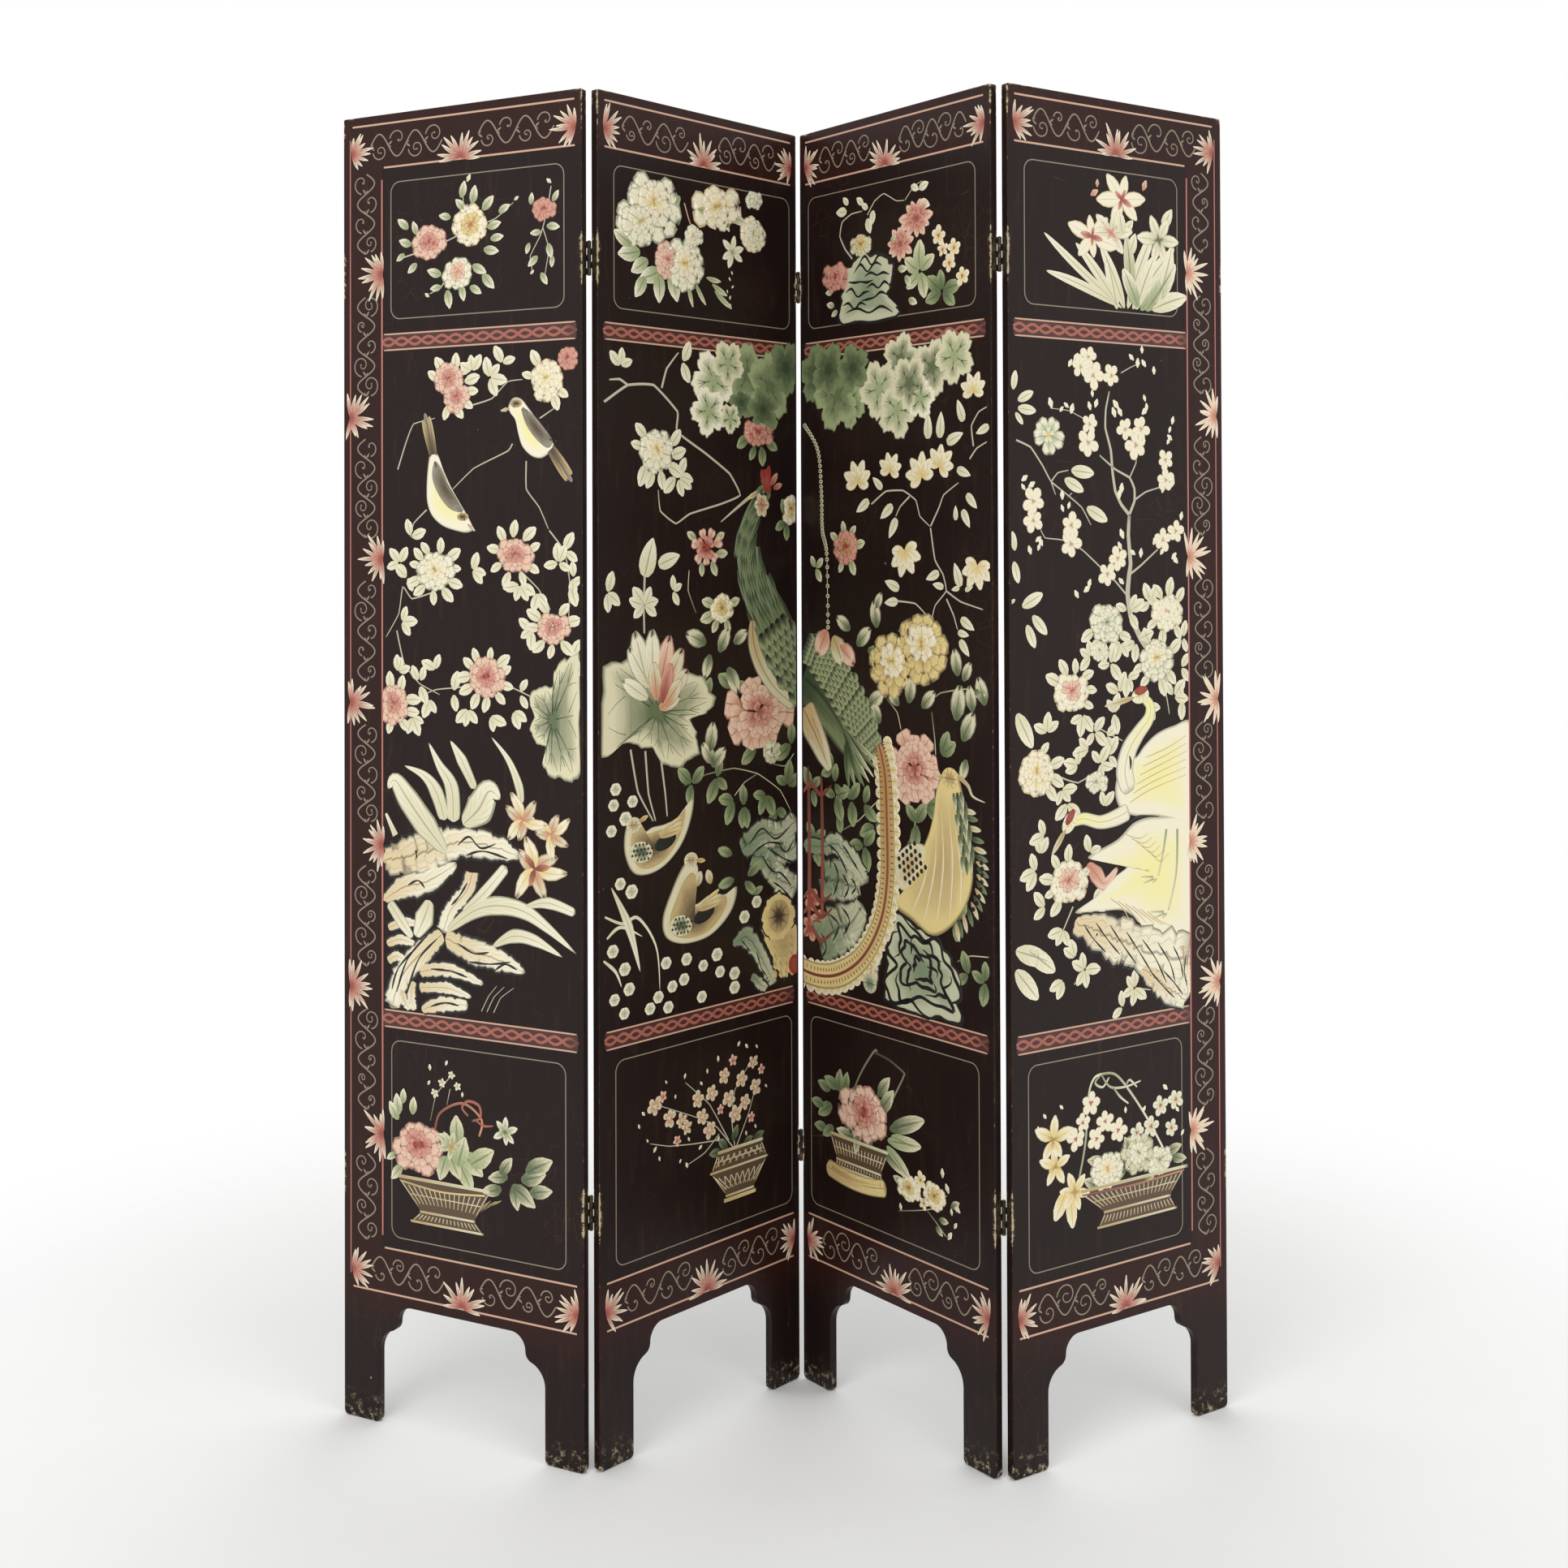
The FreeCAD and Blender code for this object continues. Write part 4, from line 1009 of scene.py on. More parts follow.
def top_flowers_3(art):
    """A garden rock, a pink peony and chrysanthemums, star flowers and pale leaves."""
    rock = ((100, 1541), (92, 1570), (104, 1598), (112, 1622), (140, 1636), (178, 1632), (204, 1618), (206, 1594),
            (196, 1574), (214, 1556), (212, 1541))
    art.stone(rock, (152, 1582), "moss_stone")
    for z, left, right in ((1552, 104, 208), (1565, 98, 150), (1571, 138, 196), (1580, 104, 158), (1588, 150, 202),
                           (1596, 110, 166), (1604, 146, 200), (1613, 122, 184), (1624, 132, 192)):
        sway = np.array((0.0, 5.0, -3.0, 4.0, -1.0)) + art.random.uniform(-5, 5, 5)
        art.stroke(np.stack([np.linspace(left, right, 5), z + sway], 1), (0.8, 5.0, 3.0, 5.5, 0.8), "black",
                   BODY + 3.4)
    art.twig(((120, 1632), (104, 1648), (92, 1668), (97, 1688), (118, 1697), (142, 1698)), (3.0, 1.8))
    art.twig(((152, 1690), (168, 1708), (188, 1716), (214, 1702), (232, 1700)), (2.2, 1.3))
    art.twig(((232, 1700), (250, 1716), (268, 1722)), (1.6, 1.0))
    art.peony(82, 1610, 36, 21, "pink", "pink", "red")
    art.peony(138, 1650, 24, 17, "tan", "yellow", "umber")
    for x, z, size in ((255, 1672, 34), (222, 1641, 29)):
        art.flower(x, z, size, 0.86 * size, ((11, 0.2, 1.0, 0.56, "blush"), (9, 0.1, 0.76, 0.56, "pink"),
                                             (6, 0.0, 0.46, 0.7, "pink")), swell=0.7, taper=0.65)
    art.leaves(((105, 1716), (98, 1704), (136, 1712), (148, 1704), (165, 1687), (250, 1716), (272, 1712),
                (273, 1692), (156, 1672)), (160, 1700), 19, 12, "ivory")
    art.sprigs(262, 1598, 3, (100, 160, 30, 220, -60), 30, "pale_leaf", 12)
    art.sprigs(306, 1566, 3, (150, 90, 20, 200, -30), 26, "green", 12)
    art.leaves(((226, 1604), (240, 1590), (206, 1650), (246, 1556), (72, 1570), (80, 1556), (66, 1588)),
               (200, 1600), 20, 12, "cream")
    art.blossoms(((308, 1622), (321, 1602), (346, 1582), (300, 1642), (330, 1622)), 13, "butter", "pink")
    art.blossoms(((180, 1594), (172, 1565)), 12, "mint", "cream")


def top_flowers_4(art):
    """Pink and cream orchids over long arching leaves."""
    art.blades((206, 202, 198, 210, 216, 225, 196), (1546, 1548, 1548, 1546, 1546, 1546, 1544),
               (150, 158, 128, 112, 72, 54, 100), (170, 140, 112, 96, 128, 122, 78), (13, 14, 16, 18, 20, 22, 20),
               "blade", bend=(-0.05, 0.1, 0.1, 0.1, -0.12, -0.1, 0.1), grid=(11, 7))
    art.blades((232, 240, 222), (1546, 1546, 1552), (70, 38, 88), (88, 72, 96), (24, 20, 22),
               ("blade", "cream", "pale_leaf"), rise=LEAF + 1, bend=(-0.1, 0.08, 0.12), grid=(9, 7))
    art.blades((250, 262, 270, 236), (1546, 1548, 1556, 1548), (44, 24, 62, 112), (90, 72, 88, 60),
               (30, 26, 26, 24), ("cream", "blade", "blade", "cream"), rise=LEAF + 2, bend=(0.1, -0.1, 0.12, 0.1),
               grid=(9, 7))
    art.lily(206, 1696, 50, 38, "petal", "pink", 15)
    art.lily(150, 1640, 52, 32, "petal", "pink", 40)
    art.lily(186, 1648, 40, 30, "ivory", "blush", 10)
    art.lily(276, 1646, 44, 36, "ivory", "sage", 60)
    art.leaves(((215, 1657), (226, 1638), (204, 1664), (295, 1676)), (210, 1620), 30, 16, "ivory")
    art.buds(((160, 1708), (148, 1696), (246, 1712)), 14, "blush")


def basket_1(art):
    """A low woven basket heaped with a pink peony and pale leaves."""
    art.twig(((150, 430), (160, 468), (185, 497)), (1.6, 1.0), "sage")
    art.twig(((178, 455), (184, 480)), (1.4, 1.0), "sage")
    art.stroke(((158, 420), (168, 445), (205, 462), (236, 444), (232, 420)), (3.4,), "brick", STEM + 0.5)
    art.basket((118, 238, 289), (134, 224, 304), (92, 252, 348), 17)
    art.stroke(((98, 342), (170, 336), (246, 342)), (3.0,), "ochre", BODY + 3.2)
    art.blades((222, 232, 242), (312, 318, 326), (40, 34, 26), (38, 34, 30), (3, 3, 3), "umber")
    art.peony(130, 392, 46, 36, "blush", "pink", "red")
    art.leaves(((195, 425), (180, 405), (205, 398), (222, 380), (190, 375), (170, 372), (212, 362), (240, 392)),
               (190, 385), 40, 24, "pale_leaf")
    art.leaves(((320, 375), (335, 362), (308, 352), (290, 345), (262, 370), (278, 384), (330, 395), (255, 352)),
               (270, 368), 42, 22, "sage")
    art.leaves(((96, 448), (88, 436), (104, 462), (120, 446), (86, 372), (90, 352)), (120, 410), 24, 13, "cream")
    art.lily(275, 432, 25, 20, "cream", "sage", 25)
    art.stroke(((214, 446), (204, 456), (214, 466), (232, 462), (234, 446), (220, 440)), (3.0, 4.6, 3.0), "coral",
               STEM + 1.5)
    art.stroke(((226, 442), (240, 436), (256, 438)), (2.0, 4.0, 1.6), "coral", STEM + 1.5)
    art.lily(186, 400, 26, 22, "pale_leaf", "yellow", 70)
    art.blossoms(((186, 498), (170, 486), (158, 470), (196, 484)), 6, "ivory")
    art.buds(((150, 500), (204, 470), (176, 510), (146, 480)), 7)


def basket_2(art):
    """A lattice bowl of star blossoms on grey stems."""
    for stem in (((262, 365), (255, 410), (262, 450), (300, 488)), ((262, 365), (225, 405), (190, 425), (105, 462)),
                 ((262, 365), (290, 410), (305, 445)), ((250, 380), (210, 440), (160, 482)),
                 ((240, 385), (180, 392), (130, 400), (92, 412)), ((230, 395), (200, 375), (165, 366))):
        art.twig(stem, (2.0, 1.1), "stem")
    art.basket((244, 300, 304), (212, 330, 342), (226, 318, 368), 9, lattice=True)
    art.stroke(((238, 298), (306, 298)), (6,), "ochre", BODY, 12)
    art.blossoms(((103, 460), (155, 430), (165, 418), (210, 405), (215, 455), (250, 440), (262, 415), (300, 482),
                  (305, 445), (240, 474), (186, 452), (276, 462), (130, 438), (282, 428), (196, 426)), 13,
                 "orange", "ivory")
    art.blossoms(((146, 404), (232, 428), (296, 404), (118, 470), (258, 492), (318, 468)), 9, "blush", "red")
    art.buds(((90, 414), (74, 436), (84, 452), (126, 486), (160, 486), (170, 398), (150, 372), (166, 362),
              (188, 382), (100, 398), (112, 384), (310, 500), (290, 504), (330, 440), (268, 510), (228, 496),
              (206, 484), (142, 462), (196, 470), (226, 385), (306, 386), (286, 380)), 7, "ivory")
    art.leaves(((236, 378), (290, 376), (264, 392), (312, 372), (220, 372)), (262, 350), 20, 11, "moss")


def basket_3(art):
    """A footed basket with an angular handle, a rose-pink peony and green leaves, and a spray beside it."""
    art.stroke(((95, 352), (98, 392), (122, 458), (158, 508), (168, 511)), (3.4,), "grey", STEM)
    art.stroke(((158, 509), (190, 505), (221, 494), (222, 488), (206, 462), (190, 438)), (3.4,), "grey", STEM)
    art.basket((74, 178, 330), (78, 174, 340), (62, 190, 374), 17)
    art.stroke(((54, 324), (90, 318), (122, 316), (154, 318), (186, 324)), (26,), "ochre", BODY + 3.4, 30, dome=1.4)
    art.stroke(((64, 326), (122, 319), (176, 326)), (9,), "yellow", BODY + 6, 24)
    art.peony(137, 415, 54, 42, "blush", "pink", "red")
    art.leaves(((50, 436), (64, 448), (36, 411), (52, 404), (44, 382), (60, 372), (100, 458), (82, 452)),
               (110, 400), 36, 20, "green")
    art.leaves(((180, 465), (190, 445), (120, 372), (150, 366), (100, 376)), (140, 405), 38, 18, "sage")
    art.blades((188, 192, 196, 176, 186), (392, 408, 400, 376, 384), (6, 22, -6, -24, -36), (70, 78, 52, 56, 62),
               (22, 24, 18, 18, 20), ("pale_leaf", "sage", "pale_leaf", "sage", "pale_leaf"), grid=(9, 7))
    art.twig(((210, 300), (246, 310), (282, 322), (310, 348)), (1.8, 1.1), "sage")
    art.twig(((266, 318), (288, 304), (308, 290)), (1.6, 1.0), "sage")
    art.peony(232, 336, 24, 18, "butter", "yellow", "umber")
    art.peony(284, 338, 26, 18, "butter", "yellow", "umber")
    art.blossoms(((256, 354), (262, 324)), 12, "butter", "umber")
    art.buds(((312, 350), (310, 288), (318, 322), (300, 368), (334, 330), (322, 306), (216, 302)), 11, "ivory")
    art.leaves(((212, 345), (300, 312), (294, 294), (322, 340)), (260, 330), 20, 11, "sage")


def basket_4(art):
    """A shallow basket with a handle and bow, pale peonies, yellow lilies and pale blossoms."""
    art.stroke(((118, 372), (130, 420), (136, 480), (146, 502), (162, 506)), (3.6,), "cream", STEM)
    art.stroke(((158, 506), (186, 501), (216, 470), (250, 425), (284, 372)), (3.6,), "cream", STEM)
    for ribbon in (((160, 504), (176, 486), (204, 482), (234, 486)), ((180, 486), (194, 470), (210, 458)),
                   ((160, 506), (148, 496), (162, 488), (174, 500)), ((204, 482), (212, 490), (226, 478))):
        art.stroke(ribbon, (2.4, 3.6, 2.2), "cream", STEM + 1)
    art.basket((152, 300, 300), (164, 288, 319), (116, 320, 354), 21)
    art.stroke(((118, 349), (216, 346), (316, 349)), (2.6,), "brick", BODY + 3.4)
    art.peony(170, 374, 32, 26, "ivory", "butter", "yellow")
    art.peony(228, 386, 36, 26, "pale_leaf", "ivory", "sage")
    art.peony(268, 370, 28, 20, "ivory", "cream", "sage")
    art.leaves(((140, 362), (196, 366), (250, 352), (296, 380), (306, 364), (206, 404), (150, 388)), (215, 375), 28,
               14, "sage")
    art.lily(72, 432, 38, 32, "butter", "yellow", 80, 5)
    art.lily(76, 396, 32, 26, "butter", "yellow", 20, 5)
    art.lily(110, 356, 30, 30, "butter", "yellow", 50)
    art.blades((96, 102), (362, 356), (-120, -85), (44, 48), (22, 20), "butter", LEAF + 1)
    art.blossoms(((125, 446), (166, 441), (150, 420), (190, 425), (140, 470), (112, 426)), 16, "petal", "pink")
    art.blossoms(((270, 446), (291, 412), (225, 416), (252, 420), (300, 450)), 14, "ivory", "pink")
    art.buds(((60, 462), (48, 446), (90, 470), (284, 466), (306, 432), (310, 398), (236, 442), (204, 446)), 10,
             "petal")


def song_bird(art, outline, centre, wing, tail, tail_turn, head, beak_turn):
    """A small perched bird: a pale body, a darker wing along its back, long tail feathers, a cap, a beak and
    an eye."""
    art.blades(*tail, np.array((-5, 5, 0)) + tail_turn, (68, 66, 74), 11, ("umber", "umber", "grey"), BODY + 1,
               swell=0.2, taper=0.35, grid=(9, 5))
    art.form(outline, centre, "crane", BODY + 1.6, dome=1.8, count=17)
    art.form(wing, np.mean(wing, 0), "grey", BODY + 3.6, dome=1.2, count=13)
    middle = np.mean(wing, 0)
    for aside in (-4, 0, 4):
        art.stroke((np.array(wing[0]) + aside * 0.3, middle + aside, wing[len(wing) // 2]), (0.6, 1.6, 0.8),
                   "black", DETAIL)
    art.blades(*off(head, 8, beak_turn), beak_turn, 16, 6, "tan", BODY + 4, grid=(5, 5))
    art.discs(off(head, -2, beak_turn)[0], head[1] + 5, 10, 6, "umber", BODY + 4.4)
    art.eye(off(head, 2, beak_turn)[0], head[1] + 1, 2.4)


def branches_1(art):
    """Flowering branches, with leaves that stand out round their blossoms."""
    for line in (((95, 1329), (110, 1368), (123, 1393), (161, 1400)),
                 ((221, 1415), (255, 1423), (281, 1445), (306, 1447)),
                 ((289, 1361), (281, 1351), (225, 1329), (187, 1299)), ((332, 1393), (356, 1406)),
                 ((311, 1338), (311, 1299), (332, 1274), (347, 1244)), ((146, 1274), (123, 1255), (117, 1235)),
                 ((159, 1160), (120, 1150), (104, 1167), (97, 1129), (74, 1095)),
                 ((93, 1107), (106, 1060), (132, 1033), (168, 1018)), ((300, 1190), (330, 1165), (350, 1136)),
                 ((347, 1244), (372, 1215), (380, 1175), (378, 1120)),
                 ((245, 1043), (205, 1030), (160, 1025), (120, 1010)),
                 ((245, 1043), (292, 1030), (330, 1015), (352, 992))):
        art.twig(line)
    for flower in ((183, 1452, 25, 24, "blush", "pink", "pink"), (196, 1427, 22, 22, "blush", "pink", "pink"),
               (343, 1445, 25, 32, "butter", "butter", "yellow"), (377, 1472, 17, 17, "pink", "pink", "red"),
               (159, 1188, 36, 28, "ivory", "butter", "sage"), (292, 1210, 34, 23, "blush", "pink", "pink"),
               (353, 1112, 28, 21, "blush", "pink", "tan"), (245, 1043, 31, 28, "blush", "pink", "red"),
               (88, 1002, 24, 32, "blush", "pink", "pink")):
        art.peony(*flower)
    for x, z, reach, angles in (
            (187, 1440, 30, (150, 118, 78, 48, 20, -12, -40, -75, -104)), (343, 1445, 26, (120, -35, -62, 170)),
            (159, 1188, 32, (165, 140, 112, 70, 40, 10, -30, -60, -95, -130, -160)),
            (292, 1210, 30, (130, 95, 55, 15, -30, -70, -110, -150, 165)),
            (353, 1112, 26, (150, 110, 60, 20, -50, -90, -130, 180)),
            (245, 1043, 30, (150, 120, 80, 45, 15, -15, -50, -85, -120, -150, 175)),
            (88, 1002, 26, (100, 60, 20, -20, -60, -100)), (132, 1033, 6, (60, 110, -60)),
            (100, 1118, 4, (50, 0, -40)), (190, 1022, 4, (70, -70)), (300, 1024, 4, (-60, 60)),
            (222, 1462, 2, (100, 40, 160)), (252, 1452, 2, (110, 60, -60, -20)), (272, 1470, 2, (100, 20)),
            (98, 1200, 2, (120, 60, 200, -70)), (112, 1180, 2, (-60, 150)), (222, 1190, 2, (60, 0, -50)),
            (300, 1170, 2, (200, 250, -60, -20)), (330, 1160, 2, (240, -60)), (362, 1200, 2, (110, 60, -20, 200)),
            (386, 1180, 2, (90, -90)), (320, 1110, 2, (150, 200, 250)), (384, 1076, 2, (60, -60)),
            (96, 1048, 2, (110, 60, 20)), (160, 1052, 2, (80, 140)), (150, 1012, 2, (-60, -110)),
            (215, 1000, 2, (-50, -100, -150)), (252, 992, 2, (-70, -20)), (120, 986, 2, (-60, -110, -10)),
            (290, 1000, 2, (-80, -30)), (117, 1236, 3, (100, 10)), (372, 1215, 3, (70, -20)),
            (380, 1170, 3, (30, -60))):
        art.sprigs(x, z, reach, angles, 20, "ivory", 15)


def birds_1(art):
    """Two small birds, one that faces down and one that faces up."""
    song_bird(art,
              ((282, 1412), (290, 1423), (303, 1421), (315, 1408), (330, 1391), (346, 1373), (356, 1356),
               (350, 1348), (336, 1340), (320, 1343), (305, 1356), (298, 1374), (293, 1393), (285, 1403)),
              (316, 1378),
              ((303, 1410), (318, 1403), (336, 1385), (354, 1362), (346, 1352), (326, 1366), (309, 1388)),
              (340, 1366), -53, (293, 1410), 190)
    song_bird(art,
              ((224, 1246), (216, 1262), (202, 1282), (187, 1304), (174, 1328), (164, 1350), (152, 1352),
               (147, 1330), (145, 1300), (147, 1280), (156, 1263), (174, 1250), (198, 1243), (214, 1241)),
              (176, 1286),
              ((208, 1268), (198, 1286), (184, 1306), (170, 1332), (158, 1342), (154, 1318), (166, 1292),
               (186, 1272)), (160, 1336), 104, (208, 1258), -38)


def garden_1(art):
    """Day lilies, sword leaves and a lotus leaf that grow from a pierced rock."""
    lotus_leaf(art, (352, 990),
               ((396, 1076), (374, 1074), (356, 1058), (352, 1036), (330, 1034), (314, 1018), (322, 996),
                (316, 974), (330, 956), (344, 952), (336, 930), (350, 914), (378, 910), (396, 920), (396, 1000)))
    for path, widths in ((((176, 846), (161, 884), (140, 906), (106, 918)), (20, 23, 13, 1)),
                         (((190, 844), (187, 892), (166, 922), (148, 952)), (24, 24, 13, 1)),
                         (((226, 892), (204, 930), (185, 956)), (12, 18, 1)),
                         (((302, 876), (298, 900), (281, 934), (253, 964)), (9, 14, 9, 1)),
                         (((91, 820), (74, 850)), (11, 4))):
        art.stroke(path, widths, "blade", LEAF, 20, dome=0.6)
    for line, widths, cracks in (
            (((70, 784), (104, 790), (150, 802), (205, 818), (262, 814), (302, 804)), (30, 52, 62, 42, 38, 6),
             (((196, 812), (216, 826), (236, 812), (262, 820)), ((210, 800), (240, 808), (282, 800)))),
            (((70, 728), (104, 748), (150, 762), (196, 788)), (8, 34, 36, 8),
             (((112, 752), (130, 760), (142, 750)),)),
            (((222, 778), (212, 752), (186, 724), (172, 692)), (22, 24, 22, 26),
             (((214, 764), (200, 744), (186, 730)),)),
            (((172, 690), (140, 664), (104, 628), (84, 580)), (20, 34, 36, 30),
             (((164, 684), (130, 650), (110, 600)), ((150, 690), (112, 650), (92, 600)),
              ((128, 668), (96, 636), (84, 604)))),
            (((176, 684), (216, 672), (262, 664), (308, 650)), (26, 38, 34, 6),
             (((196, 680), (224, 668), (250, 672)), ((214, 656), (250, 656), (286, 662)),
              ((258, 648), (276, 658), (296, 652)))),
            (((132, 634), (180, 642), (240, 628)), (16, 22, 6), (((150, 640), (186, 640), (214, 634)),)),
            (((132, 612), (176, 616), (220, 608)), (14, 18, 5), ()),
            (((136, 582), (172, 594), (214, 596)), (12, 24, 12), (((150, 588), (176, 596), (200, 594)),))):
        art.slab(line, widths, cracks, "stone")
    for line in (((78, 690), (104, 700), (130, 700)), ((76, 668), (100, 676), (124, 672)),
                 ((78, 644), (92, 652), (108, 648)), ((122, 620), (118, 600), (124, 580)),
                 ((100, 606), (106, 592), (116, 580))):
        art.slab(line, (10, 16, 8), (), "stone")
    art.stroke(((180, 800), (146, 834), (112, 872), (90, 897), (78, 884)), (10, 38, 36, 22, 4), "blade", LEAF + 5,
               24, dome=0.8)
    art.stroke(((206, 842), (232, 864), (250, 890), (268, 880)), (14, 48, 34, 3), "blade", LEAF + 5, 24, dome=0.8)
    for path, widths in ((((176, 692), (221, 724), (262, 736), (306, 732), (345, 712), (390, 682)),
                          (8, 22, 27, 23, 14, 1)),
                         (((255, 680), (289, 697), (324, 694), (368, 676)), (4, 20, 17, 1)),
                         (((308, 738), (345, 746), (388, 736)), (4, 17, 12)),
                         (((206, 722), (242, 752), (278, 790)), (9, 18, 15)),
                         (((80, 726), (102, 700), (120, 680)), (15, 19, 8)),
                         (((150, 734), (140, 708), (126, 682)), (12, 34, 10))):
        art.stroke(path, widths, "blade", LEAF + 6, 24, dome=0.8)
    for x, z, reach, lean, heart in (
            (304, 854, 40, 100, "orange"), (350, 838, 36, 20, "orange"), (324, 790, 50, -20, "brick")):
        art.blades(x, z, lean + np.array((0, 62, 118, 176, 236, 300)),
                   reach * np.array((1.0, 0.8, 0.9, 0.7, 1.0, 0.85)), 0.42 * reach, ("butter", "orange"),
                   PETAL + 6 + 0.4 * np.arange(6), (0.3, -0.25, 0.2, -0.3, 0.3, 0.2), edged=True, ruffle=0.2)
        art.blades(x, z, lean + np.array((30, 150, 270)), 0.5 * reach, 0.22 * reach, heart, PETAL + 9)
    for offset in (0, 9, 20):
        art.twig(((236 + offset, 590), (248 + offset, 612), (262 + 1.4 * offset, 628)), (1.4, 0.8), "stem")


def lotus_leaf(art, centre, outline):
    """A round lotus leaf: green in its middle, paler to its ruffled edge, with forked ribs that run out to it."""
    ribs, ring = 15, smooth(outline, 90, closed=True)
    middle = np.array(centre, float)
    angle = np.linspace(0, 2 * np.pi, 90, endpoint=False)[:, None]
    art.form(middle + (1 + 0.03 * np.sin(14 * angle) + 0.02 * np.sin(31 * angle)) * (ring - middle), centre,
             "lotus_leaf", BODY, dome=0.6, count=25)
    at = (np.arange(ribs) * 90 / ribs).astype(int)
    shares = np.linspace(0.06, 0.84, 9)[None, :, None]
    ways = ring[at][:, None] - middle
    art.strokes(middle + shares * ways, (2.6, 1.0), "plume", BODY + 1.6)
    for side in (-1, 1):
        bent = ring[(at + 3 * side) % 90][:, None] - middle
        fork = np.linspace(0.5, 0.94, 5)[None, :, None]
        part = (fork - 0.5) / 0.44
        art.strokes(middle + fork * (ways * (1 - part) + bent * part), (1.4, 0.7), "plume", BODY + 1.8)


def branches_2(art):
    """Branches, hanging vine leaves and flowers over the pond, and reeds beside it."""
    for line in (((10, 1413), (55, 1439), (104, 1442), (150, 1408), (149, 1380), (208, 1351), (255, 1325),
                  (277, 1295), (238, 1282), (174, 1267), (146, 1253), (116, 1270), (112, 1300)),
                 ((119, 1438), (129, 1466), (153, 1491)), ((55, 1439), (40, 1446), (20, 1444))):
        art.twig(line, (4.0, 3.6, 2.2))
    art.peony(110, 1352, 38, 32, "ivory", "butter", "yellow")
    art.sprigs(110, 1352, 34, (170, 140, 20, -10, -40, -75, -105, -135), 24, "ivory", 20)
    art.sprigs(150, 1318, 6, (60, 10, -30, -70, 200), 23, "ivory", 20)
    art.sprigs(42, 1464, 2, (140, 80, 20), 22, "ivory", 6)
    art.sprigs(160, 1478, 2, (60, -70), 24, "ivory", 8)
    lobed_leaves(art,
                 ((222, 1456, 44, "cream"), (252, 1482, 34, "pale_leaf"), (212, 1412, 36, "cream"),
                  (256, 1404, 22, "pale_leaf"), (292, 1468, 46, "green"), (342, 1456, 50, "green"),
                  (326, 1420, 34, "moss"), (376, 1484, 40, "moss"), (280, 1428, 26, "moss")))
    art.peony(315, 1386, 34, 19, "pink", "pink", "red")
    art.sprigs(315, 1386, 26, (200, 250, 290, 330, 20), 24, "green", 10)
    art.peony(386, 1276, 16, 26, "butter", "yellow", "red")
    art.sprigs(380, 1260, 8, (120, 200, 250), 24, "green", 10)
    art.flower(206, 1220, 34, 27,
               ((7, 0.42, 1.0, 0.95, "blush"), (6, 0.12, 0.62, 0.95, "pink"), (3, 0.0, 0.26, 1.0, "red")),
               ruffle=0.1)
    art.sprigs(206, 1220, 28, (150, 30, -20, -60, -110), 18, "pale_leaf", 12)
    art.blades((85, 112), (1180, 1196), (72, 18), (56, 44), (32, 22), "ivory", swell=0.45, taper=0.75, grid=(9, 7))
    art.twig(((86, 1184), (84, 1140), (85, 1102)), (4.4, 3.4))
    art.sprigs(85, 1142, 2, (170, 130, 60, 20, -20, 210), 24, "ivory", 16)
    art.sprigs(16, 1160, 2, (60, -40, -80), 24, "ivory", 10)
    art.sprigs(140, 1160, 2, (80, 30, -60), 17, "ivory", 10)
    art.peony(238, 1133, 25, 21, "butter", "yellow", "umber")
    art.sprigs(238, 1133, 20, (160, 200, 240, 300, 20), 22, "pale_leaf", 12)
    for x, z, lean, size in ((206, 1086, 160, 44), (232, 1072, 60, 40), (250, 1050, -60, 44), (214, 1070, 250, 36),
                             (262, 1084, 30, 34), (212, 932, 80, 44), (222, 916, 130, 40), (216, 912, 40, 38)):
        art.blades(x, z, lean, size, 0.6 * size, "sage", LEAF + 1, edged=True, ruffle=0.1)
    art.daisy(316, 984, 74, 52, "blush", "pink")
    art.peony(342, 924, 20, 18, "sage", "cream", "moss")
    for line in (((160, 890), (205, 902), (262, 906), (312, 894), (360, 866), (386, 830)),
                 ((312, 894), (284, 884), (262, 866)), ((250, 1050), (262, 1010), (256, 962)),
                 ((342, 906), (372, 900), (392, 918)), ((186, 1128), (170, 1160), (172, 1190))):
        art.twig(line, (2.2, 1.4), "sage")
    for x, z, angles in ((176, 892, (150, 30, 250)), (226, 896, (60, -40, 250)), (282, 850, (80, 250, -60)),
                         (262, 860, (160, 240)), (330, 862, (230, 300, 170)), (376, 872, (80, 20, 150)),
                         (310, 930, (130, 200)), (386, 930, (100, 200)), (352, 840, (250, 330)),
                         (204, 1010, (60, 120)), (262, 1020, (20, 150))):
        art.sprigs(x, z, 2, angles, 27, "green", 12)


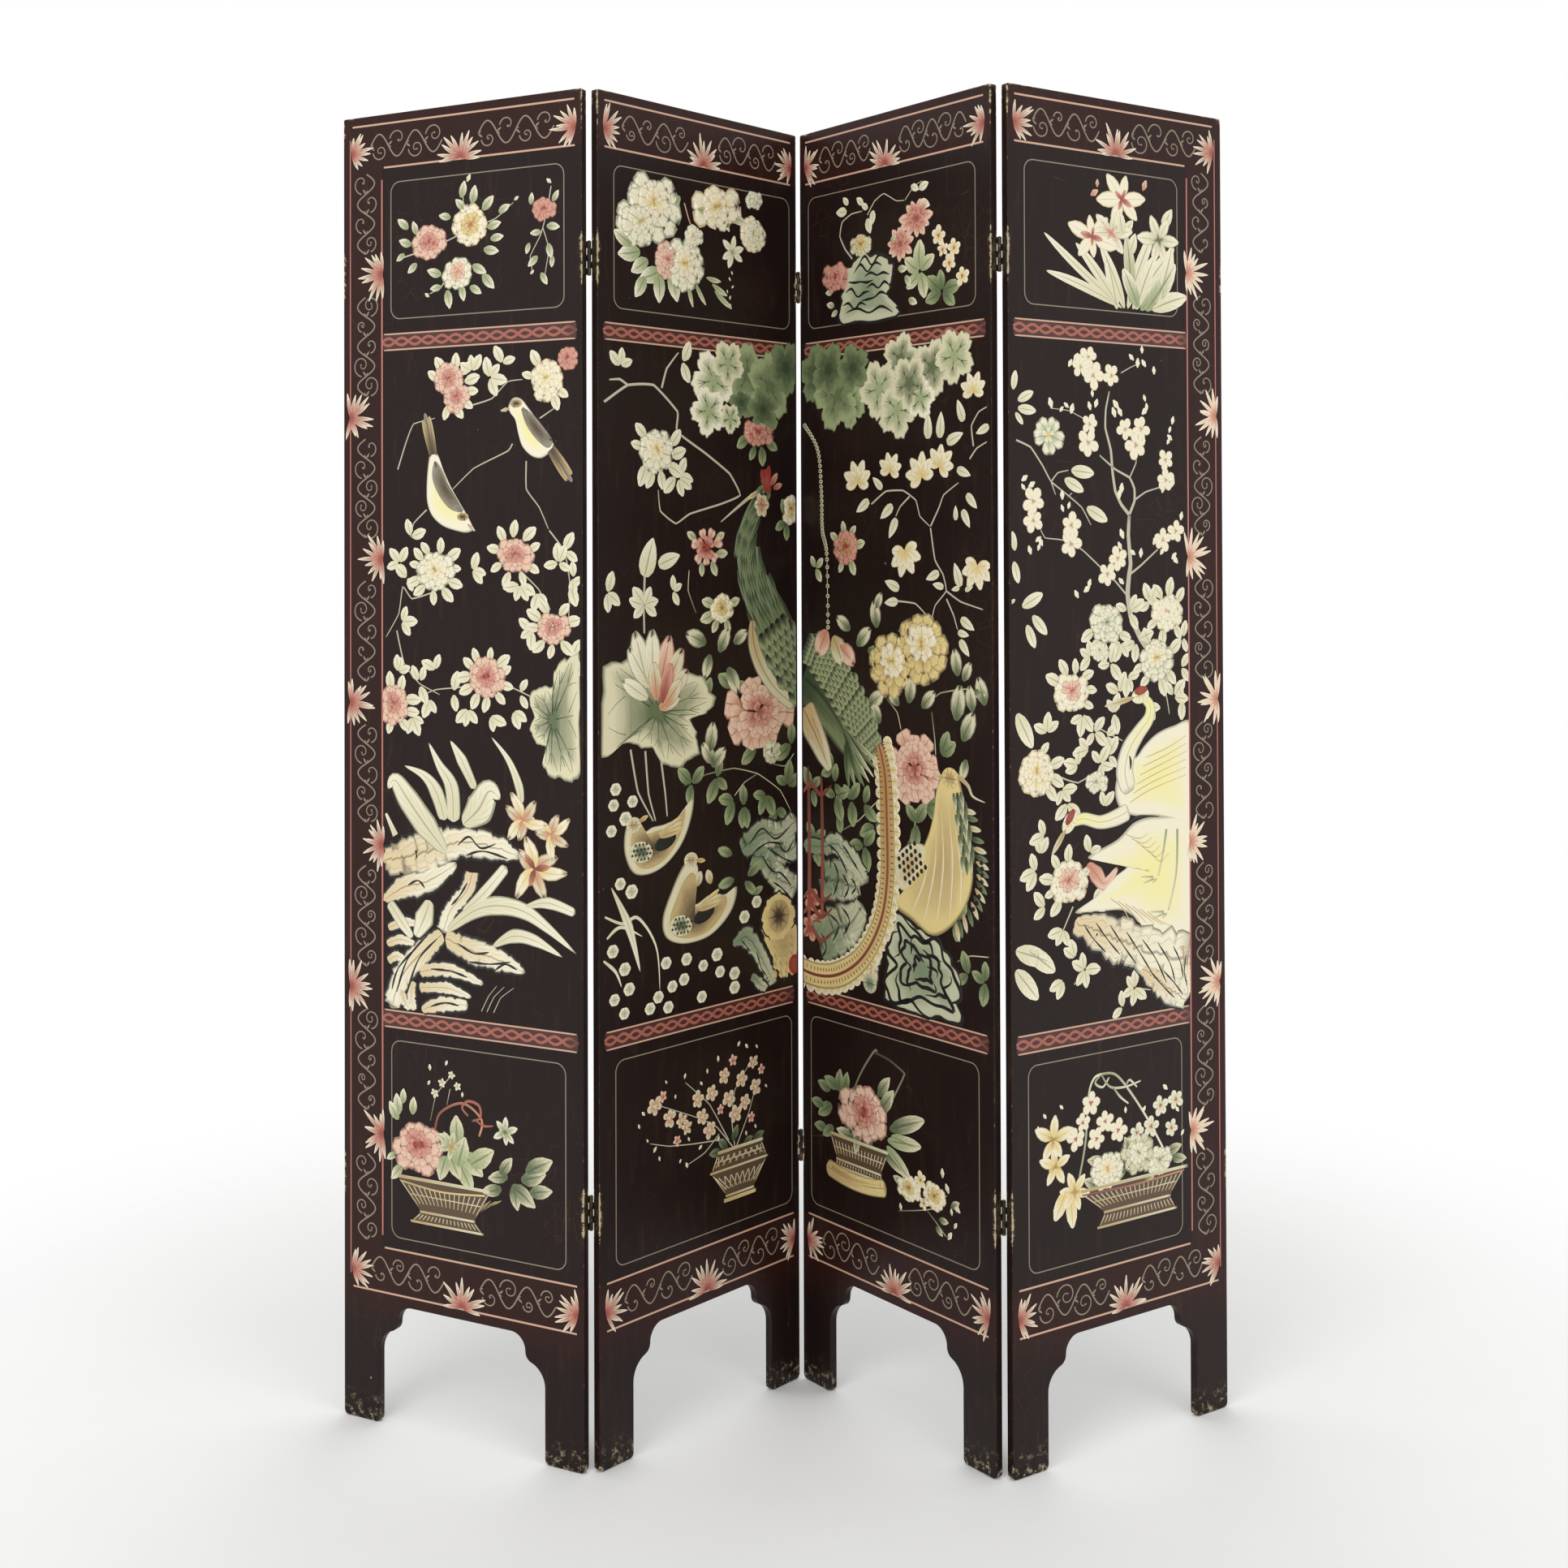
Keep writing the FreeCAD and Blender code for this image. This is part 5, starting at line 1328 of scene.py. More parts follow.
def lotus_and_rocks(art):
    """A lotus with its leaf, ledges of rock, a round stone with fruit, and scattered blossoms."""
    lotus_leaf(art, (110, 996),
               ((6, 1050), (40, 1070), (84, 1062), (120, 1066), (158, 1052), (196, 1040), (222, 1014), (214, 990),
                (178, 982), (186, 960), (190, 934), (160, 918), (124, 920), (100, 944), (74, 950), (44, 958),
                (6, 944)))
    for line in (((58, 950), (72, 890), (102, 846)), ((86, 946), (92, 886), (106, 846)),
                 ((116, 930), (124, 884), (128, 850))):
        art.twig(line, (4.0, 2.6))
    art.blades((96, 92, 100, 110, 116, 120, 92, 112), (1030, 1028, 1020, 1016, 1012, 1008, 1014, 1000),
               (126, 108, 90, 74, 58, 40, 150, 20), (70, 84, 90, 88, 82, 66, 58, 46),
               (34, 36, 36, 36, 34, 30, 26, 24),
               ("ivory", "ivory", "ivory", "blush", "orange", "orange", "ivory", "orange"), PETAL + 2, edged=True,
               ruffle=0.1, grid=(9, 7))
    art.blades((108, 116, 122), (1010, 1006, 1002), (96, 70, 46), (56, 60, 50), (28, 28, 26),
               ("orange", "pink", "orange"), PETAL + 4.5, edged=True, grid=(7, 7))
    rock = "moss_stone"
    art.slab(((276, 788), (318, 806), (360, 802), (397, 820)), (34, 44, 40, 36),
               (((290, 790), (320, 814), (350, 796), (384, 812)), ((300, 780), (332, 792), (368, 786))), rock, 4.0)
    art.slab(((300, 776), (334, 766), (356, 738), (397, 716)), (36, 40, 44, 40),
               (((316, 780), (340, 752), (362, 744), (386, 722)), ((330, 786), (366, 766), (392, 756)),
                ((344, 734), (364, 722), (384, 704))), rock, 4.0)
    art.slab(((346, 786), (372, 776), (397, 782)), (34, 40, 38), (((356, 790), (372, 774), (390, 790)),), rock, 4.0)
    art.slab(((258, 656), (286, 662), (312, 636), (334, 604), (346, 586)), (6, 34, 26, 24, 14),
               (((276, 660), (296, 640)), ((308, 640), (318, 614), (330, 600))), rock, 3.0)
    art.slab(((298, 606), (314, 592), (330, 582)), (10, 18, 12), (), rock)
    ring = ((318, 668), (328, 700), (356, 712), (384, 694), (397, 660), (397, 612), (372, 592), (352, 604),
            (334, 636))
    art.stone(ring, (366, 640), "ochre", BODY + 2)
    for z in (654, 642, 630, 618, 606):
        art.blades((346, 358, 370, 382), (z, z - 2, z - 3, z - 2), -70, 13, 10, "ochre", DETAIL, edged=True,
                   grid=(5, 5))
    art.stone(((318, 682), (330, 708), (356, 718), (382, 704), (394, 680), (380, 656), (354, 646), (328, 658)),
              (356, 682), "ochre", DETAIL)
    art.discs(356, 683, 24, 25, "umber", DETAIL + 3, count=13)
    art.discs(390, 608, 13, 15, "red", DETAIL + 1)
    for x, z, lean, size in ((258, 784, 160, 32), (290, 750, 30, 36), (284, 742, -40, 32), (262, 748, 190, 34),
                             (300, 722, 20, 24)):
        art.blades(x, z, lean, size, 0.5 * size, "green", LEAF + 5, edged=True)
    art.stroke(((22, 768), (54, 712), (76, 646)), (1, 16, 1), "ivory", LEAF, 20)
    for path in (((10, 730), (44, 716), (72, 720), (106, 676), (113, 614)), ((8, 672), (30, 654), (41, 632)),
                 ((14, 700), (40, 712), (80, 694))):
        art.stroke(path, (3.0, 5.4, 4.0, 1.0), "ivory", LEAF, 24)
    spots = np.array(((31, 897), (27, 876), (62, 878), (49, 856), (23, 842), (39, 770), (60, 757), (25, 682),
                      (47, 655), (28, 617), (55, 627), (46, 596), (94, 594), (110, 607), (129, 590), (137, 617),
                      (165, 650), (160, 623), (198, 636), (195, 593), (232, 622), (226, 647), (262, 615),
                      (262, 595), (309, 710), (283, 692), (125, 651)), float)
    size = art.random.uniform(9.4, 11.6, len(spots))
    art.discs(spots[:, 0], spots[:, 1], size, 0.86 * size, "shell", LEAF, lobes=6, depth=0.1, count=9)


def birds_2(art):
    """Two ducks, and a pheasant's head, hackles and breast."""
    duck(art,
         ((50, 846), (46, 812), (62, 782), (92, 776), (126, 786), (158, 812), (176, 846), (180, 874), (158, 852),
          (126, 842), (100, 840), (84, 836), (72, 852)), (104, 812), (64, 846), 20)
    duck(art,
         ((118, 714), (124, 686), (158, 672), (206, 674), (240, 690), (262, 712), (268, 738), (244, 730),
          (214, 734), (186, 724), (166, 728), (182, 750), (188, 776), (172, 790), (154, 776), (136, 750)),
         (180, 702), (174, 786), -8)
    art.blades((186, 214), (748, 748), (70, 110), (22, 22), (16, 16), "tan", BODY + 2, edged=True)
    body = ((334, 1302), (306, 1270), (292, 1232), (302, 1180), (336, 1118), (374, 1060), (440, 1000))
    art.stroke(((236, 1256), (262, 1272), (296, 1292), (322, 1304)), (1.5, 5.0, 8.0), "stem", BODY, 20)
    art.stroke(body, (22, 28, 36, 52, 84, 96, 90), "plume", BODY, 40, dome=2.0)
    art.feathers(body[:5], (22, 34, 50, 74, 96), 10, 50, ("plume", "moss", "hackle", "plume"), BODY + 2.4, wide=0.2,
                 taper=1.1)
    art.feathers(body[4:], (74, 92, 92), 5, 30, "scale", BODY + 3.2, wide=0.8)
    breast = ((302, 1118), (304, 1082), (322, 1046), (354, 1012), (396, 986))
    art.stroke(breast, (10, 24, 27, 25, 22), "tan", BODY + 3)
    art.stroke(breast, (1.4,), "umber", DETAIL + 1)
    art.discs((322, 334), (1282, 1316), (15, 12), (18, 18), ("orange", "red"), BODY + 4, lobes=6, depth=0.3)
    art.discs(326, 1298, 16, 13, "moss", BODY + 3.4)
    art.blades(314, 1298, 192, 22, 8, "ochre", BODY + 5, bend=0.12)
    art.blades((334, 342, 328, 348), (1312, 1310, 1312, 1306), (80, 52, 104, 20), (28, 24, 22, 20),
               (12, 11, 10, 10), ("red", "pink"), BODY + 5, edged=True)
    art.eye(326, 1300, 3.0)


def lobed_leaves(art, leaves):
    """Broad vine leaves of five crinkled lobes with drawn ribs, each given as its place, reach and paint."""
    angle = np.linspace(0, 2 * np.pi, 120, endpoint=False)
    for index, (x, z, reach, paint) in enumerate(leaves):
        turn = art.random.uniform(0, 2 * np.pi)
        lobe = np.abs(np.cos(2.5 * (angle - turn))) ** 0.7
        size = reach * (0.70 + 0.34 * lobe + 0.045 * np.sin(17 * angle + turn) + 0.03 * np.sin(29 * angle))
        level = LEAF + 1.2 * (index % 4)
        art.form(np.stack([x + size * np.cos(angle), z + size * np.sin(angle)], 1), (x, z), paint, level, dome=0.5,
                 count=25)
        rib = turn + 2 * np.pi / 5 * np.arange(5)[:, None, None]
        for bend, first, last in ((0.0, 0.03, 0.88), (0.42, 0.30, 0.80), (-0.42, 0.30, 0.80)):
            away = np.linspace(first, last, 6)[None, :, None]
            way = rib + bend * (away - first)
            art.strokes(np.array((x, z)) + reach * away * np.concatenate([np.cos(way), np.sin(way)], 2), (1.8, 0.8),
                        "plume", level + 1.2)


def duck(art, outline, centre, head, beak_turn):
    """A duck on the water: a curved body with a pale rim, a dark back, a spotted breast, a head and a flat beak."""
    art.form(outline, centre, "tan", BODY, dome=1.4, count=21)
    ring = smooth(outline, 60, closed=True)
    inner = np.array(centre) + 0.80 * (ring - np.array(centre))
    art.form(inner[::4], centre, "umber", BODY + 1.8, dome=1.0, count=17)
    x, z = centre
    art.discs(x + 20, z + 5, 23, 11, "black", BODY + 3.2, turn=18)
    art.discs(x - 26, z - 4, 23, 15, "sage", BODY + 3.2, turn=-10)
    spots = np.stack(np.meshgrid(np.linspace(-17, 17, 6), np.linspace(-10, 10, 4)), -1)
    spots[::2, :, 0] += 3
    spots = spots[np.hypot(spots[..., 0] / 21, spots[..., 1] / 13) < 1]
    art.discs(x - 26 + spots[:, 0], z - 4 + spots[:, 1], 2.0, 2.0, "black", DETAIL + 1, count=5)
    art.quills((x + 8, z + 14), (22, 12, 2), 48, 11, ("ochre", "tan", "ochre"), BODY + 4)
    art.discs(*head, 14, 11, "tan", BODY + 3)
    art.blades(*off(head, 10, beak_turn), beak_turn, 19, 7, "yellow", BODY + 3.6)
    art.eye(head[0] + 3, head[1] + 3)


def branches_3(art):
    """Vine leaves, a magnolia with its buds, peonies and a chrysanthemum."""
    lobed_leaves(art,
                 ((40, 1474, 44, "moss"), (84, 1440, 52, "green"), (66, 1478, 40, "moss"), (120, 1476, 36, "moss"),
                  (112, 1424, 34, "green"), (176, 1442, 42, "pale_leaf"), (214, 1410, 40, "pale_leaf"),
                  (240, 1446, 40, "sage"), (222, 1480, 38, "sage"), (286, 1464, 40, "sage"),
                  (330, 1476, 38, "pale_leaf"), (262, 1424, 30, "cream")))
    vine = ((10, 1400), (40, 1362), (48, 1300), (50, 1245), (60, 1208), (62, 1104))
    beads = smooth(vine, 44)
    art.twig(vine, (1.4,), "sage")
    art.discs(beads[:, 0], beads[:, 1], 4.4, 3.4, "sage", LEAF, count=5)
    for line in (((158, 1280), (190, 1298), (226, 1298), (252, 1284), (260, 1262), (281, 1247)),
                 ((281, 1247), (298, 1272), (308, 1290), (338, 1306)),
                 ((281, 1247), (290, 1202), (306, 1182), (312, 1160), (290, 1140), (282, 1118)),
                 ((358, 1336), (372, 1350), (392, 1358)), ((366, 1352), (362, 1380), (376, 1398), (392, 1404)),
                 ((312, 1160), (340, 1146), (384, 1136)), ((240, 1290), (220, 1276), (210, 1262)),
                 ((312, 1150), (326, 1128), (334, 1108)), ((210, 1145), (250, 1142), (276, 1124))):
        art.twig(line, (3.0, 1.8), "stem")
    for x, z, size, lean in ((129, 1322, 31, 90), (200, 1334, 25, 80), (260, 1326, 31, 110), (304, 1337, 28, 60),
                             (366, 1434, 25, 90), (230, 1203, 33, -80), (370, 1184, 30, -100)):
        art.cup(*off((x, z), -0.3 * size, lean), size, lean)
    buds = np.array(((277, 1385, 90, 36), (302, 1385, 85, 36), (341, 1402, 110, 32), (330, 1366, 20, 34),
                     (140, 1278, 210, 32), (191, 1269, 215, 32), (204, 1246, 240, 32), (172, 1310, 140, 26),
                     (362, 1280, -45, 28), (351, 1257, -60, 28), (331, 1265, 90, 20), (347, 1319, -20, 28),
                     (383, 1374, 200, 26), (334, 1182, 110, 34), (285, 1180, 200, 28), (296, 1167, 170, 22),
                     (202, 1167, 160, 32), (200, 1143, 185, 28), (353, 1116, -30, 30), (345, 1103, -10, 22),
                     (347, 1084, -50, 28), (330, 1163, 190, 16), (356, 1164, 20, 16)), float)
    lean, size = buds[:, 2], buds[:, 3]
    art.blades(*off(buds.T, -0.5 * size, lean), lean, size, 0.48 * size, "ivory", swell=0.4, taper=0.8, grid=(8, 7))
    art.peony(102, 1219, 27, 28, "pink", "brick", "red")
    art.sprigs(102, 1219, 24, (100, 60, 10, -60, -110, 150), 18, "pale_leaf", 12)
    art.sprigs(34, 1190, 2, (120, 40, -60), 17, "pale_leaf", 12)
    art.peony(262, 1082, 56, 50, "yellow", "butter", "yellow")
    art.peony(200, 1056, 46, 46, "yellow", "butter", "yellow")
    for x, z, lean, size in ((170, 1106, 100, 40), (166, 1132, 60, 28), (126, 1080, 40, 40), (112, 1102, 150, 36),
                             (150, 1076, -20, 38), (334, 1046, 100, 38), (344, 1040, 60, 30), (366, 1030, -20, 26),
                             (330, 986, 80, 50), (342, 960, 60, 46), (350, 936, 250, 30), (362, 1000, 100, 36),
                             (386, 1010, 110, 40), (150, 996, 30, 40), (176, 972, 120, 36), (236, 1004, 80, 40),
                             (262, 1000, 40, 36), (216, 1000, 140, 30)):
        art.blades(x, z, lean, size, 0.6 * size, "sage", LEAF + 1, edged=True, ruffle=0.12)
    for line in (((270, 1004), (300, 1022), (352, 1030), (384, 1012)), ((190, 1008), (212, 990), (220, 966)),
                 ((282, 996), (288, 960), (290, 936)), ((90, 812), (130, 832), (168, 862)),
                 ((226, 800), (246, 830), (250, 862)), ((330, 664), (356, 676), (392, 680))):
        art.twig(line, (2.4, 1.4), "sage")
    for x, z, angles in ((112, 858, (120, 60, -70)), (140, 856, (60, -50)), (164, 826, (190, 20)),
                         (140, 796, (180, -60, 60)), (250, 840, (120, 60, -90)), (270, 866, (20, -40)),
                         (330, 720, (60, 130, -80)), (384, 646, (90, -90, 160)), (352, 650, (100, 200)),
                         (76, 880, (80, -60)), (84, 838, (80, -70)), (300, 938, (20, 60)),
                         (24, 866, (120, 60, -60)), (30, 790, (110, 40, -70)), (72, 900, (200, 120)),
                         (78, 860, (150, 30, -60))):
        art.sprigs(x, z, 2, angles, 26, "green", 12)
    art.daisy(247, 916, 54, 52, "blush", "pink")


def rocks_3(art):
    """Garden rocks with red coral before them."""
    rock = "moss_stone"
    art.slab(((4, 782), (50, 784), (80, 792), (118, 768), (146, 744)), (22, 26, 34, 36, 20),
               (((60, 790), (84, 778), (104, 752)), ((92, 794), (112, 776), (128, 760))), rock, 4.6)
    art.slab(((52, 740), (84, 740), (110, 736), (132, 738)), (60, 66, 48, 22),
             (((74, 766), (84, 744), (72, 716)), ((92, 752), (106, 734), (96, 716)),
              ((112, 748), (122, 736), (112, 724))), rock, 4.6)
    art.slab(((40, 640), (78, 668), (112, 684), (136, 712)), (70, 80, 64, 26),
             (((60, 690), (84, 676), (70, 650)), ((90, 704), (108, 686), (94, 662)),
              ((44, 660), (56, 640), (44, 622))), rock, 4.6)
    right = ((202, 712), (230, 708), (262, 694), (290, 688), (318, 664), (338, 642), (334, 610), (338, 584),
             (300, 580), (240, 579), (196, 582), (180, 610), (190, 640), (186, 664), (196, 690))
    art.stone(right, (262, 642), rock)
    art.contours(right, (262, 642), (0.88, 0.70, 0.53, 0.37, 0.22), 7.5, BODY + 3.6)
    art.slab(((150, 606), (160, 640), (176, 672)), (36, 30, 14), (), "stone")
    art.discs(152, 604, 15, 14, "moss_stone", BODY + 4)
    for x, low, high in ((16, 664, 900), (46, 676, 890)):
        art.stroke(((x, low), (x + 2, (low + high) / 2), (x - 1, high)), (7, 9, 8, 5), "maroon", DETAIL + 1)
    for z in (656, 690, 712, 868):
        art.stroke(((4, z - 8), (22, z + 6), (44, z - 8), (70, z + 8)), (4, 8, 8, 2), "maroon", DETAIL + 1.6)
    art.blossoms(((24, 704), (40, 676), (18, 662)), 17, "pink", "red")


def birds_3(art):
    """The pheasant's wing and long tail, and a hen pheasant."""
    tail = ((172, 946), (186, 902), (190, 830), (190, 756), (176, 696), (140, 642), (90, 608), (34, 596),
            (-40, 604))
    path = smooth(tail, 70)
    aside = np.gradient(path, axis=0)
    aside = np.stack([-aside[:, 1], aside[:, 0]], 1) / np.linalg.norm(aside, axis=1, keepdims=True)
    art.discs(*(path + 18 * aside)[2::2].T, 10, 10, "butter", BODY + 2, count=7)
    art.discs(*(path - 15 * aside)[2::2].T, 8, 8, "butter", BODY + 2, count=7)
    art.stroke(tail, (18, 27, 31, 31, 32, 35, 40, 38, 38), "yellow", BODY + 3.4, 60, dome=1.2)
    for side in (-1, 1):
        art.strokes(np.stack([path + 3 * side * aside, path + 15 * side * aside], 1)[1:], (2.8, 1.6), "maroon",
                    BODY + 5.6)
    art.stroke(tail, (4.0, 5.4, 5.4, 5.0), "maroon", DETAIL + 5, 60)
    wing = ((4, 1078), (52, 1050), (96, 1012), (136, 966), (162, 930))
    art.stroke(((4, 1030), (40, 1010), (80, 975), (110, 942), (146, 924)), (80, 86, 72, 50, 26), "plume", BODY, 40,
               dome=1.8)
    art.feathers(wing, (46, 70, 78, 58, 30), 6, 17, "scale", BODY + 3, wide=0.95)
    art.blades((60, 74, 88), (1100, 1092, 1080), (240, 300, 320), (46, 50, 44), (38, 38, 32), ("blush", "tan"),
               BODY + 4.6, edged=True, ruffle=0.2)
    art.stroke(((4, 984), (30, 950), (52, 918), (66, 896)), (56, 46, 34, 10), "tan", BODY + 2.2, 24, dome=1.6)
    art.stroke(((24, 972), (44, 942), (58, 908)), (1, 2, 1), "brick", DETAIL, 16)
    art.quills((96, 960), (-34, -42, -50, -58, -66), 92, 8, ("sage", "plume", "sage"), BODY + 5)
    art.quills((104, 944), (-50, -62, -74, -86, -98), 66, 12, ("plume", "green"), BODY + 5.4, 0.2)
    hen = ((306, 916), (292, 896), (286, 862), (276, 832), (262, 806), (244, 772), (222, 744), (204, 726),
           (212, 716), (240, 706), (274, 690), (304, 698), (336, 724), (356, 756), (362, 790), (352, 826),
           (346, 866), (340, 900), (328, 918))
    art.form(hen, (302, 790), "ochre", BODY + 3, dome=2.2, count=21)
    for streak in (((312, 884), (322, 800), (316, 716)), ((300, 870), (304, 790), (290, 706)),
                   ((290, 840), (286, 780), (264, 704)), ((278, 812), (266, 764), (240, 716)),
                   ((324, 860), (338, 790), (336, 736))):
        art.stroke(streak, (0.8, 4.2, 0.8), "butter", BODY + 5.2)
    art.feathers(((330, 900), (338, 862), (346, 822), (350, 790)), (22, 30, 30, 24), 3, 26, ("sage", "plume"),
                 BODY + 5.6, wide=0.36, taper=0.9)
    art.form(((206, 776), (214, 796), (240, 812), (268, 812), (266, 792), (246, 766), (224, 744), (210, 754)),
             (238, 780), "tan", BODY + 4.4, dome=0.6)
    spots = np.stack(np.meshgrid(np.linspace(-20, 20, 5), np.linspace(-20, 20, 5)), -1)
    spots[::2, :, 0] += 5
    spots = np.array((238, 782)) + spots.reshape(-1, 2) @ np.array(((0.8, 0.62), (-0.55, 0.75)))
    art.discs(spots[:, 0], spots[:, 1], 3.6, 3.8, "black", DETAIL + 3, count=5)
    edge = smooth(((352, 868), (372, 820), (378, 786), (368, 748), (338, 716)), 17)
    heading = np.degrees(np.arctan2(*np.gradient(edge, axis=0)[:, ::-1].T))
    art.blades(edge[:, 0] - 10, edge[:, 1], heading + 62, 26, 9, ("tan", "plume"), BODY + 2 + 0.1 * np.arange(17),
               edged=True)
    art.discs(edge[6:14, 0] + 1, edge[6:14, 1], 4.2, 3.6, "black", DETAIL, count=5)
    art.discs(318, 908, 17, 15, "ochre", BODY + 6)
    art.blades(306, 908, 176, 17, 8, "tan", BODY + 7)
    art.stroke(((330, 914), (352, 902), (362, 888), (386, 882)), (8, 6, 4, 1), "tan", BODY + 6.6, 16)
    art.eye(316, 910, 2.8)


def crane(art, outline, centre, neck, widths, head, beak_turn, beak):
    """A crane: a full pale body, a long curved neck that thickens to it, and a small head with a red crown."""
    art.form(outline, centre, "crane", BODY, dome=2.2, count=31)
    art.stroke(neck, widths, "crane", BODY + 1.6, 40, dome=1.6)
    art.discs(*head, 17, 11, "crane", BODY + 3.4, turn=beak_turn)
    art.discs(head[0] + 1, head[1] + 7, 13, 6, "red", DETAIL + 1, turn=beak_turn)
    art.blades(*off(head, 10, beak_turn), beak_turn, beak, 9, "tan", BODY + 5)
    art.eye(off(head, 3, beak_turn)[0], head[1] + 1, 2.4)


def branches_4(art):
    """A flowering plum, with hibiscus and peonies."""
    for line, width in (
            (((292, 1030), (262, 1066), (238, 1092), (219, 1124), (213, 1154), (216, 1180), (219, 1196),
              (215, 1235), (217, 1263)), (9.0, 10.0, 8.0, 6.0)),
            (((217, 1263), (202, 1277), (191, 1295), (186, 1321), (183, 1351), (173, 1381), (174, 1406),
              (181, 1432)), (5.6, 4.6, 2.6)),
            (((217, 1263), (227, 1282), (227, 1299), (218, 1314), (191, 1325), (161, 1344)), (5.0, 4.0, 2.4)),
            (((218, 1314), (230, 1334), (231, 1350)), (2.6, 1.6)),
            (((228, 1284), (249, 1295), (277, 1302)), (3.0, 1.8)),
            (((219, 1182), (238, 1193), (260, 1208), (272, 1216)), (3.6, 2.0)),
            (((210, 1154), (190, 1172), (159, 1194), (131, 1214), (110, 1224)), (3.0, 1.8)),
            (((110, 1226), (87, 1229), (63, 1231), (54, 1243)), (2.0, 1.4)),
            (((202, 1457), (221, 1466), (240, 1473)), (1.8, 1.2)),
            (((139, 1390), (106, 1402), (72, 1404)), (1.6, 1.0)),
            (((12, 1360), (38, 1351), (59, 1327), (74, 1306), (106, 1287), (129, 1272), (146, 1248)), (3.0, 1.8)),
            (((74, 1306), (86, 1318), (106, 1322)), (2.4, 1.4)), (((74, 1306), (82, 1288)), (2.4, 1.2)),
            (((104, 1286), (112, 1292)), (2.0, 1.2))):
        art.twig(line, width)
    art.blossoms(((142, 1476), (151, 1451), (185, 1453), (144, 1385), (141, 1360), (210, 1380), (240, 1382),
                  (230, 1359), (287, 1340), (287, 1312), (42, 1280), (42, 1254), (110, 1248), (109, 1223),
                  (195, 1203), (175, 1182), (281, 1229), (306, 1241), (128, 1462)), 18, "petal", "orange")
    art.buds(((106, 1461), (116, 1468), (227, 1476), (243, 1486), (250, 1468), (266, 1458), (234, 1466),
              (150, 1422), (154, 1408), (146, 1404), (198, 1408), (204, 1398), (192, 1396), (249, 1420),
              (252, 1408), (242, 1402), (300, 1390), (294, 1378), (300, 1368), (290, 1362), (76, 1404), (90, 1400),
              (106, 1406), (110, 1398), (22, 1306), (34, 1298), (28, 1294), (94, 1282), (104, 1270), (96, 1266),
              (46, 1226), (58, 1220), (38, 1209), (50, 1214), (140, 1164), (132, 1158), (122, 1150), (206, 1230),
              (202, 1215), (228, 1208), (298, 1202), (310, 1196), (276, 1208), (298, 1302), (280, 1294),
              (202, 1292), (198, 1284), (206, 1168), (238, 1204), (262, 1222), (316, 1256)), 12, "petal")
    art.flower(70, 1368, 30, 29, ((5, 0.04, 1.0, 0.96, "mint"), (5, 0.0, 0.40, 0.6, "butter")), swell=0.9,
               taper=0.35, ruffle=0.1)
    leaves = np.array(((8, 1426, 80, 26), (16, 1412, 25, 30), (16, 1402, -5, 32), (12, 1396, -50, 20),
                       (110, 1322, -5, 42), (98, 1310, -25, 38), (138, 1272, -25, 42), (10, 1214, 100, 26),
                       (8, 1200, -75, 30), (22, 1140, 25, 40), (40, 1128, -45, 36), (30, 1116, -65, 34),
                       (12, 1000, -60, 54), (8, 690, -20, 62), (30, 688, -36, 58), (8, 664, -48, 58),
                       (10, 1150, 210, 12)), float)
    art.blades(*leaves.T, 0.44 * leaves[:, 3], "ivory", swell=0.55, taper=0.6, grid=(9, 7))
    for flower in ((174, 1114, 34, 27, "mint", "mint", "sage"), (289, 1127, 31, 26, "petal", "petal", "blush"),
                   (268, 1063, 38, 29, "mint", "butter", "yellow"), (110, 1024, 36, 25, "petal", "blush", "pink"),
                   (46, 920, 32, 33, "butter", "butter", "yellow"), (102, 770, 35, 31, "petal", "blush", "pink"),
                   (160, 1078, 18, 14, "ivory", "ivory", "sage"), (152, 900, 22, 14, "ivory", "cream", "sage")):
        art.peony(*flower)
    for x, z, reach, angles in (
            (174, 1114, 32, (200, 232, 262, -30)), (289, 1127, 28, (150, 118, 86, 40, 205, -50, 250)),
            (268, 1063, 32, (200, 236, 120, -40, -75, 20)), (110, 1024, 30, (150, 112, 78, 44, 6, -34)),
            (46, 920, 30, (70, 20, -14, -50)), (102, 770, 32, (170, 130, 92, 200, 236, 20)),
            (215, 1130, 6, (60, 20, 150, -60)), (230, 1090, 6, (200, 260, 30)), (65, 972, 2, (150, 90, 30)),
            (129, 992, 2, (200, 250, -40)), (150, 968, 2, (60, -30, 230)), (172, 962, 2, (40, -60)),
            (120, 925, 2, (160, 80, 200)), (160, 925, 2, (120, 60, -20, -70)), (90, 895, 2, (250, -60, -10)),
            (300, 1010, 4, (40, -20, 120)), (250, 1000, 2, (-60, -20)), (92, 708, 2, (200, 250, -60)),
            (130, 650, 2, (150, 100, 10, 240, -70)), (222, 614, 2, (145, 80, 200, -90, -40)),
            (52, 812, 2, (110, 60)), (140, 806, 2, (100, 30)), (180, 1060, 2, (200, -40, 60)),
            (212, 1040, 2, (250, -60, 20)), (200, 1088, 2, (200, 240, -60)), (144, 1070, 2, (100, 150, 210)),
            (256, 1142, 2, (110, 60, 200)), (320, 1092, 2, (90, -70)), (316, 1050, 2, (60, -60)),
            (318, 1004, 2, (100, -90)), (186, 992, 2, (110, 60, -70)), (196, 1020, 2, (60, 150)),
            (140, 946, 2, (150, 200)), (176, 935, 2, (-50, 50)), (100, 876, 2, (240, -50)),
            (168, 866, 2, (100, 50)), (60, 836, 2, (120, 200)), (44, 790, 2, (100, 200, 250)),
            (60, 742, 2, (150, 230)), (146, 742, 2, (40, -30)), (112, 668, 2, (150, 90)), (92, 640, 2, (240, 200)),
            (200, 590, 2, (100, 200))):
